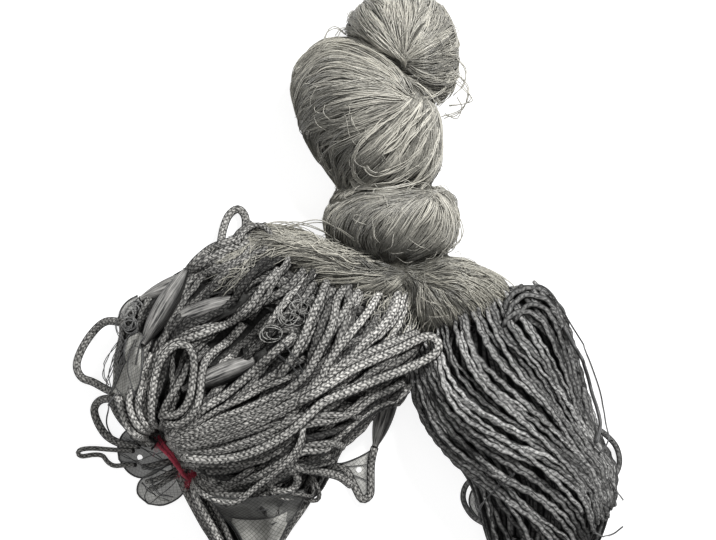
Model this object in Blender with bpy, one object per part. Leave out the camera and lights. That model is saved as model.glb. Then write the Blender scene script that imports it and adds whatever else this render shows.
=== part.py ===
"""Gill net, bundled for storage and lying on a flat surface.

The netting is twisted and knotted into a skein at the back (+Y) and fans out at its foot. There its
float line runs into a thick hank at the left (-X), bound by a tie, and its lead line into a second
hank at the right (+X). Plan positions are in millimetres from the centre of the bundle.
"""

import math

import bmesh
import bpy
import numpy as np
from mathutils import Matrix, Vector
from mathutils.bvhtree import BVHTree

MM = 0.001
CLEARANCE = 0.45 * MM
TRIM_STEP = 0.3 * MM

FLOAT_ROPE_RADIUS = 4.6 * MM
LEAD_ROPE_RADIUS = 3.2 * MM
CORD_BEVEL_RESOLUTION = 2
FLOAT_LENGTH = 88 * MM
FLOAT_RADIUS = 10.5 * MM
THIN_ROPE_RADIUS = 2.4 * MM
TIE_RADIUS = 2.2 * MM
TIE_KNOT_RADIUS = 4.4 * MM

# Each row of these tables is a rib, one cross-section of the bundle: the x and y of its left end, the x
# and y of its right end, and the height of its crown.
SKEIN_KNOB = (
    (22, 220, 88, 190, 56),
    (7, 245, 107, 207, 76),
    (1, 262, 112, 237, 85),
    (6, 282, 108, 269, 83),
    (23, 296, 92, 293, 66),
    (43, 302, 71, 302, 38),
)
SKEIN_BULB = (
    (-22, 255, 3, 260, 44),
    (-38, 242, 38, 245, 78),
    (-48, 225, 68, 223, 98),
    (-52, 205, 89, 199, 106),
    (-47, 179, 95, 175, 102),
    (-36, 154, 96, 149, 95),
    (-24, 132, 95, 127, 85),
    (-9, 113, 91, 113, 72),
    (-2, 97, 88, 101, 64),
)
SKEIN_BALL = (
    (3, 111, 83, 113, 56),
    (-15, 97, 105, 103, 82),
    (-20, 79, 112, 85, 92),
    (-17, 59, 112, 65, 91),
    (-2, 41, 105, 47, 78),
    (25, 29, 85, 33, 54),
)
LEFT_FAN = (
    (56, 44, 96, 22, 50),
    (31, 42, 80, 6, 68),
    (3, 50, 55, -2, 81),
    (-27, 58, 20, -6, 88),
    (-57, 65, -17, -2, 88),
    (-83, 68, -47, 10, 79),
    (-95, 61, -72, 33, 62),
)
RIGHT_FAN = (
    (54, 42, 94, 46, 46),
    (57, 10, 123, 33, 66),
    (66, -20, 147, 21, 74),
    (78, -36, 165, 2, 68),
    (95, -38, 161, -10, 50),
)
FLOAT_LINE_HANK = (
    (45, 22, 78, -30, 44),
    (-2, 30, 74, -71, 72),
    (-47, 42, 64, -99, 88),
    (-92, 60, 43, -123, 98),
    (-132, 46, 15, -149, 103),
    (-167, 21, -17, -171, 102),
    (-202, -2, -47, -185, 98),
    (-231, -29, -79, -193, 90),
    (-243, -65, -107, -195, 80),
    (-238, -101, -129, -191, 66),
    (-222, -124, -141, -187, 50),
    (-217, -137, -154, -187, 38),
    (-229, -150, -154, -195, 36),
    (-229, -167, -161, -204, 33),
    (-221, -181, -170, -209, 28),
    (-211, -195, -183, -210, 14),
)
FLOAT_LINE_FOOT = (
    (-150, -165, 0, -160, 56),
    (-163, -202, -18, -194, 54),
    (-145, -228, -42, -222, 46),
    (-131, -252, -59, -248, 38),
    (-117, -276, -71, -274, 28),
    (-106, -290, -82, -289, 14),
)
LEAD_LINE_HANK = (
    (86, -28, 160, 6, 40),
    (74, -50, 198, 8, 60),
    (70, -77, 216, -16, 74),
    (73, -104, 234, -56, 81),
    (82, -130, 248, -101, 84),
    (98, -156, 260, -143, 83),
    (121, -185, 270, -180, 79),
    (133, -219, 268, -216, 72),
    (144, -254, 258, -250, 62),
    (161, -282, 242, -279, 46),
    (186, -299, 220, -298, 22),
)

# The tie's middle in plan, its heading across the float line, the half width, height and base of the
# waist under it, and how far its groove is cut sideways and upwards from there.
TIE_MIDDLE = (-172, -162)
TIE_ACROSS = (28, -34)
TIE_WAIST = (24, 32, 2.9)
TIE_GROOVE = (12, 45)
TIE_POINTS = 22
TIE_KNOT_ANGLE = 24

# Each row is a float: the x, y and z of its middle, its heading in plan and how far its nose dips.
FLOATS = (
    (-178, -11.5, 83, 60, 6),
    (-141.6, -16.3, 80, 19, -13),
    (-120.6, -77, 94, 22.6, 0),
    (-165, 11, 50, 21, -2),
    (42, -113, 11, 74, 0),
)
# The hollow between the second and third float, where the ropes of the hank part: the x, y and z of its
# middle, its heading, and its half length, half width and depth.
HANK_HOLLOW = (-112, -42, 106, 26, 44, 22, 36)

# The route of each stretch of rope that stands clear of its hank, from inside the hank and back.
FLOAT_LINE_LOOPS = {
    "float_line_loop_back": (
        (-128, 30, 56), (-126, 44, 44), (-125, 55, 28), (-123, 68, 15), (-118, 81, 7), (-109, 87, 5.2),
        (-102, 80, 7), (-101, 68, 15), (-104, 56, 28), (-107, 44, 46), (-110, 30, 58),
    ),
    "float_line_loop_left": (
        (-212, -33, 42), (-230, -27, 30), (-244, -28, 16), (-257, -39, 7), (-268, -56, 5.2),
        (-273, -72, 5.2), (-268, -84, 6), (-255, -89, 12), (-240, -96, 24), (-222, -102, 42),
    ),
    "float_line_loop_corner": (
        (-214, -108, 42), (-234, -105, 27), (-248, -107, 13), (-255, -116, 6), (-252, -129, 5.2),
        (-244, -142, 5.2), (-234, -149, 6.5), (-222, -152, 12), (-208, -152, 20),
    ),
    "float_line_tail": (
        (30, -155, 11), (28, -162, 9.5), (26.5, -171, 6), (26, -181, 5.2), (26, -193, 5.2),
        (25, -204, 5.2), (17, -208, 5.2), (10, -196, 5.2), (0, -178, 5.6), (-14, -174, 9),
        (-32, -172, 18), (-48, -168, 30),
    ),
}
THIN_LOOPS = {
    "float_line_loop_tip": (
        (-214, -158, 20), (-228, -158, 10), (-242, -157.5, 3.2), (-256, -156.5, 3), (-268, -157.5, 3),
        (-272, -161, 3), (-268, -164.5, 3), (-256, -163, 3), (-247, -164, 3), (-242, -170, 3),
        (-235, -174, 4), (-224, -173, 11), (-212, -172, 20),
    ),
}
LEAD_LINE_LOOPS = {
    "lead_line_loop_right": (
        (235, -122, 46), (250, -132, 32), (264, -142, 16), (275, -154, 6), (279, -168, 3.6),
        (276, -180, 6), (265, -191, 20), (250, -200, 38),
    ),
    "lead_line_loop_left": (
        (150, -172, 40), (134, -184, 22), (124, -192, 8), (120, -203, 3.6), (122, -214, 3.6),
        (131, -226, 12), (148, -234, 34),
    ),
}

NETTING_COLOUR = (0.30, 0.29, 0.25, 1)
FLOAT_LINE_COLOUR = (0.24, 0.235, 0.225, 1)
LEAD_LINE_COLOUR = (0.09, 0.09, 0.09, 1)
FLOAT_COLOUR = (0.07, 0.07, 0.072, 1)
TIE_COLOUR = (0.35, 0.02, 0.05, 1)


def clear_scene():
    for old in list(bpy.data.objects):
        bpy.data.objects.remove(old)


def finish_material(name, colour, roughness):
    material = bpy.data.materials.new(name)
    material.use_nodes = True
    shader = material.node_tree.nodes["Principled BSDF"]
    shader.inputs["Base Color"].default_value = colour
    shader.inputs["Roughness"].default_value = roughness
    shader.inputs["Metallic"].default_value = 0
    return material


def smooth_rows(rows, steps):
    """The table's rows with steps - 1 more between each two, on a Catmull-Rom curve through them."""
    table = np.array(rows, float)
    ends = np.vstack([2 * table[0] - table[1], table, 2 * table[-1] - table[-2]])
    found = []
    for i in range(1, len(ends) - 2):
        before, start, end, after = ends[i - 1 : i + 3]
        for t in np.arange(steps) / steps:
            found.append(
                0.5
                * (
                    2 * start
                    + (end - before) * t
                    + (2 * before - 5 * start + 4 * end - after) * t**2
                    + (3 * start - before - 3 * end + after) * t**3
                )
            )
    found.append(ends[-2])
    return np.array(found)


def link(name, data, material, helper=False):
    obj = bpy.data.objects.new(name, data)
    bpy.context.scene.collection.objects.link(obj)
    if material:
        data.materials.append(material)
    if helper:
        obj.hide_render = True
        obj.display_type = "WIRE"
    return obj


def rib_loft(name, ribs, sides=26, belly=0.36, strands=6, depth=0.035, twist=1.0, steps=2):
    """A mesh through rounded ribs. belly is the share of the crown's height at which a rib is widest;
    strands ridges of that depth turn twist times round it from its first rib to its last."""
    rows = smooth_rows(ribs, steps) * MM
    mesh = bpy.data.meshes.new(name)
    shape = bmesh.new()
    rings = []
    for number, (left_x, left_y, right_x, right_y, crown) in enumerate(rows):
        along = number / (len(rows) - 1)
        middle = Vector(((left_x + right_x) / 2, (left_y + right_y) / 2, crown * belly))
        across = Vector((right_x - left_x, right_y - left_y, 0)) / 2
        rise = Vector((0, 0, crown * (1 - belly)))
        ring = []
        for side in range(sides):
            angle = math.tau * side / sides
            ridge = 1 + depth * math.cos(strands * (angle + twist * along))
            ring.append(
                shape.verts.new(middle + ridge * (across * math.cos(angle) + rise * math.sin(angle)))
            )
        rings.append(ring)
    shape.faces.new(rings[0])
    shape.faces.new(list(reversed(rings[-1])))
    for ring, following in zip(rings, rings[1:]):
        for side in range(sides):
            after = (side + 1) % sides
            shape.faces.new((ring[side], ring[after], following[after], following[side]))
    bmesh.ops.recalc_face_normals(shape, faces=shape.faces)
    shape.to_mesh(mesh)
    shape.free()
    return mesh


def boolean(obj, other, operation):
    modifier = obj.modifiers.new(f"{operation.lower()} {other.name}", "BOOLEAN")
    modifier.operation = operation
    modifier.object = other
    modifier.solver = "EXACT"
    return modifier


def floor_cutter():
    """A slab under the surface that the bundle lies on: it takes off what each soft body presses flat."""
    slab = bpy.data.meshes.new("floor_cutter")
    shape = bmesh.new()
    bmesh.ops.create_cube(shape, size=1)
    bmesh.ops.scale(shape, vec=(1, 1, 0.2), verts=shape.verts)
    bmesh.ops.translate(shape, vec=(0, 0, -0.1), verts=shape.verts)
    shape.to_mesh(slab)
    shape.free()
    return link("floor_cutter", slab, None, helper=True)


def lobed_body(name, meshes, material, floor, cutters=()):
    """One object: the first mesh joined with the others, less the floor and the cutters."""
    body = link(name, meshes[0], material)
    for number, mesh in enumerate(meshes[1:]):
        boolean(body, link(f"{name}_lobe_{number}", mesh, None, helper=True), "UNION")
    boolean(body, floor, "DIFFERENCE")
    for cutter in cutters:
        boolean(body, cutter, "DIFFERENCE")
    return body


def clearance_of(body):
    """A helper as large as the body with the clearance all round it, to cut its neighbours with."""
    bpy.context.view_layer.update()
    shell = bpy.data.meshes.new_from_object(body.evaluated_get(bpy.context.evaluated_depsgraph_get()))
    shape = bmesh.new()
    shape.from_mesh(shell)
    bmesh.ops.remove_doubles(shape, verts=shape.verts, dist=0.2 * MM)
    bmesh.ops.triangulate(shape, faces=shape.faces)
    shape.normal_update()
    for vert in shape.verts:
        vert.co += vert.normal * CLEARANCE * min(vert.calc_shell_factor(), 2.0)
    shape.to_mesh(shell)
    shape.free()
    return link(f"{body.name}_clearance", shell, None, helper=True)


def float_mesh(name, extra=0.0):
    """A spindle float on its own X axis, made larger by extra all round."""
    stations, sides = 10, 10
    mesh = bpy.data.meshes.new(name)
    shape = bmesh.new()
    rings = []
    for station in range(stations + 1):
        share = 2 * station / stations - 1
        radius = FLOAT_RADIUS * (0.30 + 0.70 * (1 - share**2) ** 0.75) + extra
        x = share * (FLOAT_LENGTH / 2 + extra)
        rings.append(
            [
                shape.verts.new(
                    (x, radius * math.cos(math.tau * k / sides), radius * math.sin(math.tau * k / sides))
                )
                for k in range(sides)
            ]
        )
    shape.faces.new(rings[0])
    shape.faces.new(list(reversed(rings[-1])))
    for ring, following in zip(rings, rings[1:]):
        for k in range(sides):
            after = (k + 1) % sides
            shape.faces.new((ring[k], ring[after], following[after], following[k]))
    bmesh.ops.recalc_face_normals(shape, faces=shape.faces)
    shape.to_mesh(mesh)
    shape.free()
    mesh.shade_smooth()
    return mesh


def hollow_cutter(name, x, y, z, heading, half_length, half_width, depth):
    mesh = bpy.data.meshes.new(name)
    shape = bmesh.new()
    bmesh.ops.create_uvsphere(shape, u_segments=20, v_segments=12, radius=1)
    bmesh.ops.scale(shape, vec=Vector((half_length, half_width, depth)) * MM, verts=shape.verts)
    bmesh.ops.rotate(
        shape, cent=(0, 0, 0), matrix=Matrix.Rotation(math.radians(heading), 3, "Z"), verts=shape.verts
    )
    bmesh.ops.translate(shape, vec=Vector((x, y, z)) * MM, verts=shape.verts)
    shape.to_mesh(mesh)
    shape.free()
    return link(name, mesh, None, helper=True)


def place_float(obj, x, y, z, heading, dip):
    obj.location = Vector((x, y, z)) * MM
    obj.rotation_euler = (0, math.radians(dip), math.radians(heading))


def smooth_route(points, spacing):
    """Points about spacing apart on a Catmull-Rom curve through the route's own points."""
    fine = smooth_rows(points, 24) * MM
    run = np.concatenate([[0], np.cumsum(np.linalg.norm(np.diff(fine, axis=0), axis=1))])
    stations = np.linspace(0, run[-1], max(4, round(run[-1] / spacing) + 1))
    return np.stack([np.interp(stations, run, fine[:, k]) for k in range(3)], axis=1)


def inside(tree, point):
    """Whether a ray straight up from the point leaves the body an odd number of times."""
    up = Vector((0, 0, 1))
    count = 0
    hit = tree.ray_cast(point, up)[0]
    while hit:
        count += 1
        hit = tree.ray_cast(hit + up * 1e-6, up)[0]
    return count % 2 == 1


def clear_of(trees, centre, heading, radius):
    """Whether a rope whose end lies here, square to its heading, keeps the clearance to every body."""
    turn = Vector(heading).to_track_quat("X", "Z")
    cap = [
        Vector(centre) + turn @ Vector((0, math.cos(a), math.sin(a))) * reach
        for reach in np.linspace(0, radius, 4)
        for a in np.linspace(0, math.tau, 12, endpoint=False)
    ]
    return not any(
        inside(tree, cap[0]) or any(tree.find_nearest(point)[3] < CLEARANCE for point in cap)
        for tree in trees
    )


def body_tree(body):
    """The body's faces where it lies, to measure from."""
    mesh = body.evaluated_get(bpy.context.evaluated_depsgraph_get()).to_mesh()
    places = [body.matrix_world @ vert.co for vert in mesh.vertices]
    return BVHTree.FromPolygons(places, [tuple(face.vertices) for face in mesh.polygons])


def rope_loop(name, points, radius, material, bodies):
    """The stretch of the route that stands clear of the bodies, as a tube with closed ends."""
    trees = [body_tree(body) for body in bodies]
    fine = smooth_route(points, TRIM_STEP)
    free = [clear_of(trees, c, h, radius) for c, h in zip(fine, np.gradient(fine, axis=0))]
    blocked = [-1, *(i for i, clear in enumerate(free) if not clear), len(free)]
    length, first = max((b - a - 1, a + 1) for a, b in zip(blocked, blocked[1:]))
    steps = round(length * TRIM_STEP / (1.7 * radius))
    kept = fine[np.linspace(first, first + length - 1, steps + 1).astype(int)]
    curve = bpy.data.curves.new(name, "CURVE")
    curve.dimensions = "3D"
    curve.bevel_depth = radius
    curve.bevel_resolution = CORD_BEVEL_RESOLUTION
    curve.use_fill_caps = True
    spline = curve.splines.new("POLY")
    spline.points.add(steps)
    for point, place in zip(spline.points, kept):
        point.co = (*place, 1)
    return link(name, curve, material)


def over_waist(angle, grow_across, grow_up):
    """A point on the half ellipse over the waist under the tie, grown by so much each way."""
    half_width, height = (TIE_WAIST[0] * MM + grow_across, TIE_WAIST[1] * MM + grow_up)
    across = Vector((*TIE_ACROSS, 0)).normalized()
    lift = Vector((0, 0, height * math.sin(angle)))
    return Vector((*TIE_MIDDLE, TIE_WAIST[2])) * MM + across * half_width * math.cos(angle) + lift


def tie_groove():
    """A helper that cuts the narrow waist under the tie: an arch, open at its foot."""
    steps = 24
    half = Vector((TIE_ACROSS[1], -TIE_ACROSS[0], 0)).normalized() * (TIE_KNOT_RADIUS + CLEARANCE)
    mesh = bpy.data.meshes.new("tie_groove")
    shape = bmesh.new()
    rings = []
    for step in range(steps + 1):
        angle = math.radians(-25) + math.radians(230) * step / steps
        inner, outer = over_waist(angle, 0, 0), over_waist(angle, *(g * MM for g in TIE_GROOVE))
        rings.append([shape.verts.new(p) for p in (inner - half, outer - half, outer + half, inner + half)])
    shape.faces.new(rings[0])
    shape.faces.new(list(reversed(rings[-1])))
    for ring, following in zip(rings, rings[1:]):
        for k in range(4):
            after = (k + 1) % 4
            shape.faces.new((ring[k], ring[after], following[after], following[k]))
    bmesh.ops.recalc_face_normals(shape, faces=shape.faces)
    shape.to_mesh(mesh)
    shape.free()
    return link("tie_groove", mesh, None, helper=True)


def tie_band(material):
    """The yarn bound over the float line's waist from one side to the other, with its knot."""
    grow = TIE_RADIUS + CLEARANCE
    curve = bpy.data.curves.new("tie_route", "CURVE")
    curve.dimensions = "3D"
    curve.bevel_depth = TIE_RADIUS
    curve.bevel_resolution = CORD_BEVEL_RESOLUTION
    curve.use_fill_caps = True
    spline = curve.splines.new("POLY")
    spline.points.add(TIE_POINTS - 1)
    for number, point in enumerate(spline.points):
        point.co = (*over_waist(math.pi * number / (TIE_POINTS - 1), grow, grow), 1)
    route = link("tie_route", curve, None, helper=True)
    bpy.context.view_layer.update()
    mesh = bpy.data.meshes.new_from_object(
        route.evaluated_get(bpy.context.evaluated_depsgraph_get())
    )
    shape = bmesh.new()
    shape.from_mesh(mesh)
    bmesh.ops.remove_doubles(shape, verts=shape.verts, dist=0.001 * MM)
    bmesh.ops.recalc_face_normals(shape, faces=shape.faces)
    shape.to_mesh(mesh)
    shape.free()
    knot = bpy.data.meshes.new("tie_knot")
    shape = bmesh.new()
    bmesh.ops.create_uvsphere(shape, u_segments=10, v_segments=6, radius=TIE_KNOT_RADIUS)
    place = over_waist(math.radians(TIE_KNOT_ANGLE), TIE_KNOT_RADIUS, TIE_KNOT_RADIUS)
    bmesh.ops.translate(shape, vec=place, verts=shape.verts)
    shape.to_mesh(knot)
    shape.free()
    tie = link("tie", mesh, material)
    boolean(tie, link("tie_knot", knot, None, helper=True), "UNION")
    return place


def build():
    clear_scene()
    netting_finish = finish_material("netting", NETTING_COLOUR, 0.5)
    float_line_finish = finish_material("float_line", FLOAT_LINE_COLOUR, 0.75)
    lead_line_finish = finish_material("lead_line", LEAD_LINE_COLOUR, 0.7)
    float_finish = finish_material("float", FLOAT_COLOUR, 0.45)
    tie_finish = finish_material("tie", TIE_COLOUR, 0.8)
    floor = floor_cutter()

    netting = lobed_body(
        "netting",
        [
            rib_loft("netting", SKEIN_BULB, belly=0.44, twist=0.5),
            rib_loft("netting_knob", SKEIN_KNOB, belly=0.46, twist=-0.4),
            rib_loft("netting_ball", SKEIN_BALL, belly=0.46, twist=0.6),
            rib_loft("netting_left_fan", LEFT_FAN, belly=0.4, twist=0.3),
            rib_loft("netting_right_fan", RIGHT_FAN, belly=0.4, twist=-0.3),
        ],
        netting_finish,
        floor,
    )
    netting_cutter = clearance_of(netting)

    float_cutters = []
    for number, row in enumerate(FLOATS, 1):
        spindle = link(f"float_{number}", float_mesh(f"float_{number}"), float_finish)
        place_float(spindle, *row)
        pocket = link(f"float_{number}_pocket", float_mesh("pocket", CLEARANCE), None, helper=True)
        place_float(pocket, *row)
        float_cutters.append(pocket)

    float_line = lobed_body(
        "float_line_hank",
        [
            rib_loft("float_line_hank", FLOAT_LINE_HANK, sides=30, strands=8, depth=0.04, twist=0.5),
            rib_loft("float_line_foot", FLOAT_LINE_FOOT, sides=24, strands=6, depth=0.04, twist=0.4),
        ],
        float_line_finish,
        floor,
        [hollow_cutter("hank_hollow", *HANK_HOLLOW), tie_groove(), netting_cutter, *float_cutters],
    )
    float_line_cutter = clearance_of(float_line)
    lead_line = lobed_body(
        "lead_line_hank",
        [rib_loft("lead_line_hank", LEAD_LINE_HANK, sides=32, strands=8, depth=0.04, twist=0.6)],
        lead_line_finish,
        floor,
        [netting_cutter, float_line_cutter],
    )
    bpy.context.view_layer.update()

    carriers = [netting, float_line, bpy.data.objects["float_5"]]
    for name, points in FLOAT_LINE_LOOPS.items():
        rope_loop(name, points, FLOAT_ROPE_RADIUS, float_line_finish, carriers)
    for name, points in THIN_LOOPS.items():
        rope_loop(name, points, THIN_ROPE_RADIUS, float_line_finish, [float_line])
    for name, points in LEAD_LINE_LOOPS.items():
        rope_loop(name, points, LEAD_ROPE_RADIUS, lead_line_finish, [lead_line])
    tie_band(tie_finish)


build()
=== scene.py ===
"""Dresses the gill net: the fine netting of its twisted skein, the braided float line and lead line of
its two hanks, the floats, the yarn tie, the netting films and the stray threads. Lengths are in metres,
and the routes and guide lines below are in millimetres from the middle of the bundle."""

import math

import bmesh
import bpy
import numpy as np
from bpy.props import FloatVectorProperty, IntProperty, PointerProperty
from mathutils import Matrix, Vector
from mathutils.bvhtree import BVHTree


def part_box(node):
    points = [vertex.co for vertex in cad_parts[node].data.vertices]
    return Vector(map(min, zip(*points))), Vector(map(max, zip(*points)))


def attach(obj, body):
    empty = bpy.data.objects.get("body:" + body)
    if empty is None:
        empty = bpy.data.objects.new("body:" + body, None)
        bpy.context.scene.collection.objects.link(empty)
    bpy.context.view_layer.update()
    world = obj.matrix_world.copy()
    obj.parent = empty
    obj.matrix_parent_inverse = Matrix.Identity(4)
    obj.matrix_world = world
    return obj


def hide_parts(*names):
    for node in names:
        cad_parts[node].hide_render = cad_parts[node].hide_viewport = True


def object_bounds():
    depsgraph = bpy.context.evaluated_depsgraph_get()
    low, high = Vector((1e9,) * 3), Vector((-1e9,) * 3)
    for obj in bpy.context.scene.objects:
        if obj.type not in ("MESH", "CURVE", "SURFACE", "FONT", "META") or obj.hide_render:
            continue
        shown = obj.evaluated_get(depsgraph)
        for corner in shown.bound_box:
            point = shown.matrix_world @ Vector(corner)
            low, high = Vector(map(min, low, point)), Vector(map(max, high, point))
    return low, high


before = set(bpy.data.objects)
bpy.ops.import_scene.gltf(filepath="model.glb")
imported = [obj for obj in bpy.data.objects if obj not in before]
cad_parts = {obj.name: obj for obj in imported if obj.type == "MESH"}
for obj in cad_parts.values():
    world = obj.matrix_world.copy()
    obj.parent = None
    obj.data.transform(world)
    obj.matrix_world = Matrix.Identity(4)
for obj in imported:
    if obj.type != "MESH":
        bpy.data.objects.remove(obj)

bl_info = {
    "name": "Gill Net Dresser",
    "version": (1, 0, 0),
    "blender": (4, 5, 0),
    "location": "View3D > Sidebar > Gill Net",
    "description": "Lays netting, float line, lead line, floats and tie over a gill net's solids",
    "category": "Object",
}

CAD_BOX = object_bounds()
MM = 0.001
HIGHEST = 0.1175
UP = np.array((0.0, 0.0, 1.0))
ABOVE = 0.3  # the height that rays which look down start from
FLOW_STEP = 0.006  # from point to point of a thread's line on the skin
KINK_LENGTH = 0.016  # of the short waves in a line that was kinked
UV_SHIFT = 0.137  # from one strand's run to the next one's
STITCH_PITCH = 0.0056  # of the braid
FILM_MESH = 0.005  # of the netting in a film
YARN_PLIES = 4
YARN_TURNS = 190  # in a metre

# Routes and guide lines are rows of x, y, x, y and so on, or where heights are named, of x, y, height.

# Guide lines of the netting: the way that its threads run.
BULB_GUIDES = (
    (64, 203, 52, 220, 40, 237, 21, 247, 0, 253, -19, 252, -31, 244, -41, 230),
    (62, 199, 40, 215, 15, 225, -10, 227, -29, 223, -44, 213, -52, 200),
    (59, 195, 33, 203, 2, 203, -23, 200, -41, 192, -51, 181),
    (52, 188, 27, 185, 2, 179, -23, 171, -43, 159),
    (48, 179, 21, 169, -4, 159, -25, 148, -36, 138),
    (69, 198, 50, 179, 35, 161, 20, 147, 7, 135, -5, 118, -10, 104),
    (83, 192, 64, 171, 50, 151, 37, 133, 20, 115, 10, 101),
    (95, 183, 87, 161, 74, 139, 58, 121, 40, 108),
    (98, 158, 95, 136, 87, 118, 74, 106),
    (-31, 146, -17, 123, -2, 101),
)
KNOB_GUIDES = (
    (54, 232, 34, 247, 14, 262, 2, 266),
    (55, 233, 40, 255, 24, 280, 18, 290),
    (56, 233, 52, 262, 50, 285, 49, 300),
    (58, 232, 72, 258, 88, 278, 94, 288),
    (60, 230, 82, 246, 104, 258, 112, 262),
    (62, 227, 84, 232, 108, 236, 114, 237),
    (66, 218, 84, 214, 104, 214, 110, 216),
    (68, 208, 84, 202, 98, 198, 106, 198),
)
BALL_GUIDES = (
    (55, 104, 20, 98, -6, 84, -16, 64, -10, 44, 6, 32),
    (70, 107, 40, 94, 17, 74, 7, 51, 18, 32),
    (83, 108, 60, 90, 40, 68, 29, 46, 36, 29),
    (93, 106, 80, 84, 62, 62, 49, 43, 50, 28),
    (100, 104, 104, 86, 94, 65, 76, 46, 62, 30),
    (107, 100, 114, 80, 112, 58, 98, 42, 78, 30),
)
LEFT_FAN_GUIDES = (
    (56, 32, 30, 34, 11, 36, -8, 44, -39, 56, -76, 60, -98, 52),
    (56, 30, 30, 28, 0, 32, -30, 38, -60, 36, -90, 26),
    (54, 26, 17, 20, -14, 20, -45, 14, -70, -5),
    (58, 20, 29, 12, -2, 7, -20, 0),
    (60, 22, 46, 8, 36, -2),
)
RIGHT_FAN_GUIDES = (
    (60, 30, 95, 34, 126, 28, 152, 14, 168, -2),
    (62, 26, 95, 18, 124, 4, 140, -12),
    (62, 22, 84, 4, 102, -18, 110, -36),
    (60, 20, 74, 0, 82, -26, 86, -44),
)
# The parts of the skein: shares of the threads and of the locks, how far a thread runs, and how frayed it is.
SKEIN_PARTS = {
    "bulb": (1.0, 1.0, 0.11, 0.9), "knob": (0.62, 0.8, 0.08, 1.5), "ball": (0.6, 0.6, 0.07, 0.8),
    "left_fan": (0.55, 0.6, 0.1, 1.6), "right_fan": (0.55, 0.6, 0.08, 2.4),
}
# Locks of thread that lie on top of the skein: route, threads, spread, tone.
SKEIN_LOCKS = (
    ((92, 160, 84, 142, 71, 128, 50, 115, 30, 111, 15, 116, 9, 128, 12, 140), 7, 1.6, 0.55),
    ((84, 168, 76, 148, 63, 134, 46, 124, 30, 121, 20, 127, 18, 137), 6, 1.3, 0.62),
    ((97, 150, 90, 132, 76, 116, 54, 105, 32, 102, 14, 106, 4, 116), 7, 1.8, 0.42),
    ((71, 197, 52, 179, 27, 161, 15, 149, 10, 138, 8, 124), 5, 1.2, 0.83),
    ((74, 196, 57, 176, 37, 158, 24, 146, 18, 134), 5, 1.3, 0.7),
    ((78, 196, 64, 176, 48, 158, 34, 144, 27, 132), 5, 1.3, 0.85),
    ((89, 192, 64, 171, 46, 146, 30, 136), 5, 1.2, 0.75),
    ((92, 190, 74, 168, 60, 150, 50, 134, 40, 122), 5, 1.4, 0.85),
    ((94, 186, 82, 166, 72, 146, 62, 128, 50, 114), 5, 1.4, 0.65),
    ((96, 184, 90, 160, 84, 140, 74, 120, 62, 106), 5, 1.4, 0.8),
    ((98, 182, 97, 158, 92, 138, 84, 118, 74, 106), 5, 1.3, 0.55),
    ((66, 214, 74, 206, 84, 197, 92, 192), 2, 0.5, 0.85),
    ((62, 228, 76, 222, 90, 216, 104, 214), 4, 1.2, 0.6),
    ((78, 196, 90, 200, 100, 210, 108, 222), 4, 1.2, 0.65),
    ((80, 192, 96, 192, 108, 196, 113, 206), 4, 1.2, 0.6),
)
# Where the skein's loose threads lie over the two hanks: guide lines, threads, tone and thickness.
FAN_OVERLAYS = (
    ((
        (30, 38, -10, 48, -50, 60, -86, 68, -108, 62, -128, 50),
        (36, 34, 0, 42, -40, 54, -78, 60, -106, 52, -130, 34),
        (44, 30, 8, 34, -26, 44, -60, 50, -88, 42, -108, 26),
        (52, 24, 30, 22, 8, 26, -16, 34, -40, 38, -62, 34),
    ), 170, 0.52, 0.0005),
    ((
        (54, 26, 38, 16, 26, 6, 14, -8, 6, -22),
        (62, 24, 54, 8, 46, -10, 38, -30, 30, -46),
        (66, 24, 68, 2, 66, -22, 62, -44, 58, -66),
        (70, 26, 84, 4, 88, -22, 90, -44, 92, -68),
    ), 90, 0.36, 0.0006),
    ((
        (72, 24, 96, 6, 104, -18, 108, -38),
        (80, 26, 116, 12, 132, -8, 142, -28),
        (86, 28, 130, 24, 154, 6, 168, -12),
    ), 90, 0.4, 0.0005),
    ((
        (-78, 68, -104, 58, -128, 44, -148, 28),
        (-74, 56, -100, 42, -122, 24, -142, 6),
        (-66, 44, -88, 28, -106, 10, -122, -8),
    ), 80, 0.36, 0.0005),
)
# Stray threads round the skein, which leave it and come back: x, y.
STRAYS = (
    (104, 228, 120, 214, 124, 200, 116, 186, 99, 177),
    (106, 218, 119, 207, 128, 196, 119, 191, 104, 190),
    (110, 240, 119, 226, 117, 210, 108, 200),
    (100, 184, 112, 180, 118, 190, 112, 202),
    (-24, 250, -17, 264, -9, 268, 2, 262, 14, 252),
    (-8, 256, -3, 266, 6, 266, 14, 258),
    (2, 282, 8, 274, 18, 268),
    (4, 274, 14, 268, 22, 262),
    (100, 92, 114, 78, 117, 60, 108, 46),
    (104, 80, 112, 66, 110, 50, 100, 42),
    (-76, 68, -48, 72, -24, 64, -6, 52),
    (-60, 66, -30, 72, -8, 66, 8, 56),
    (-96, 58, -76, 72, -52, 70, -36, 60),
    (120, 32, 146, 26, 164, 14, 176, 4),
    (96, 290, 106, 276, 112, 258, 112, 244),
)
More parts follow.
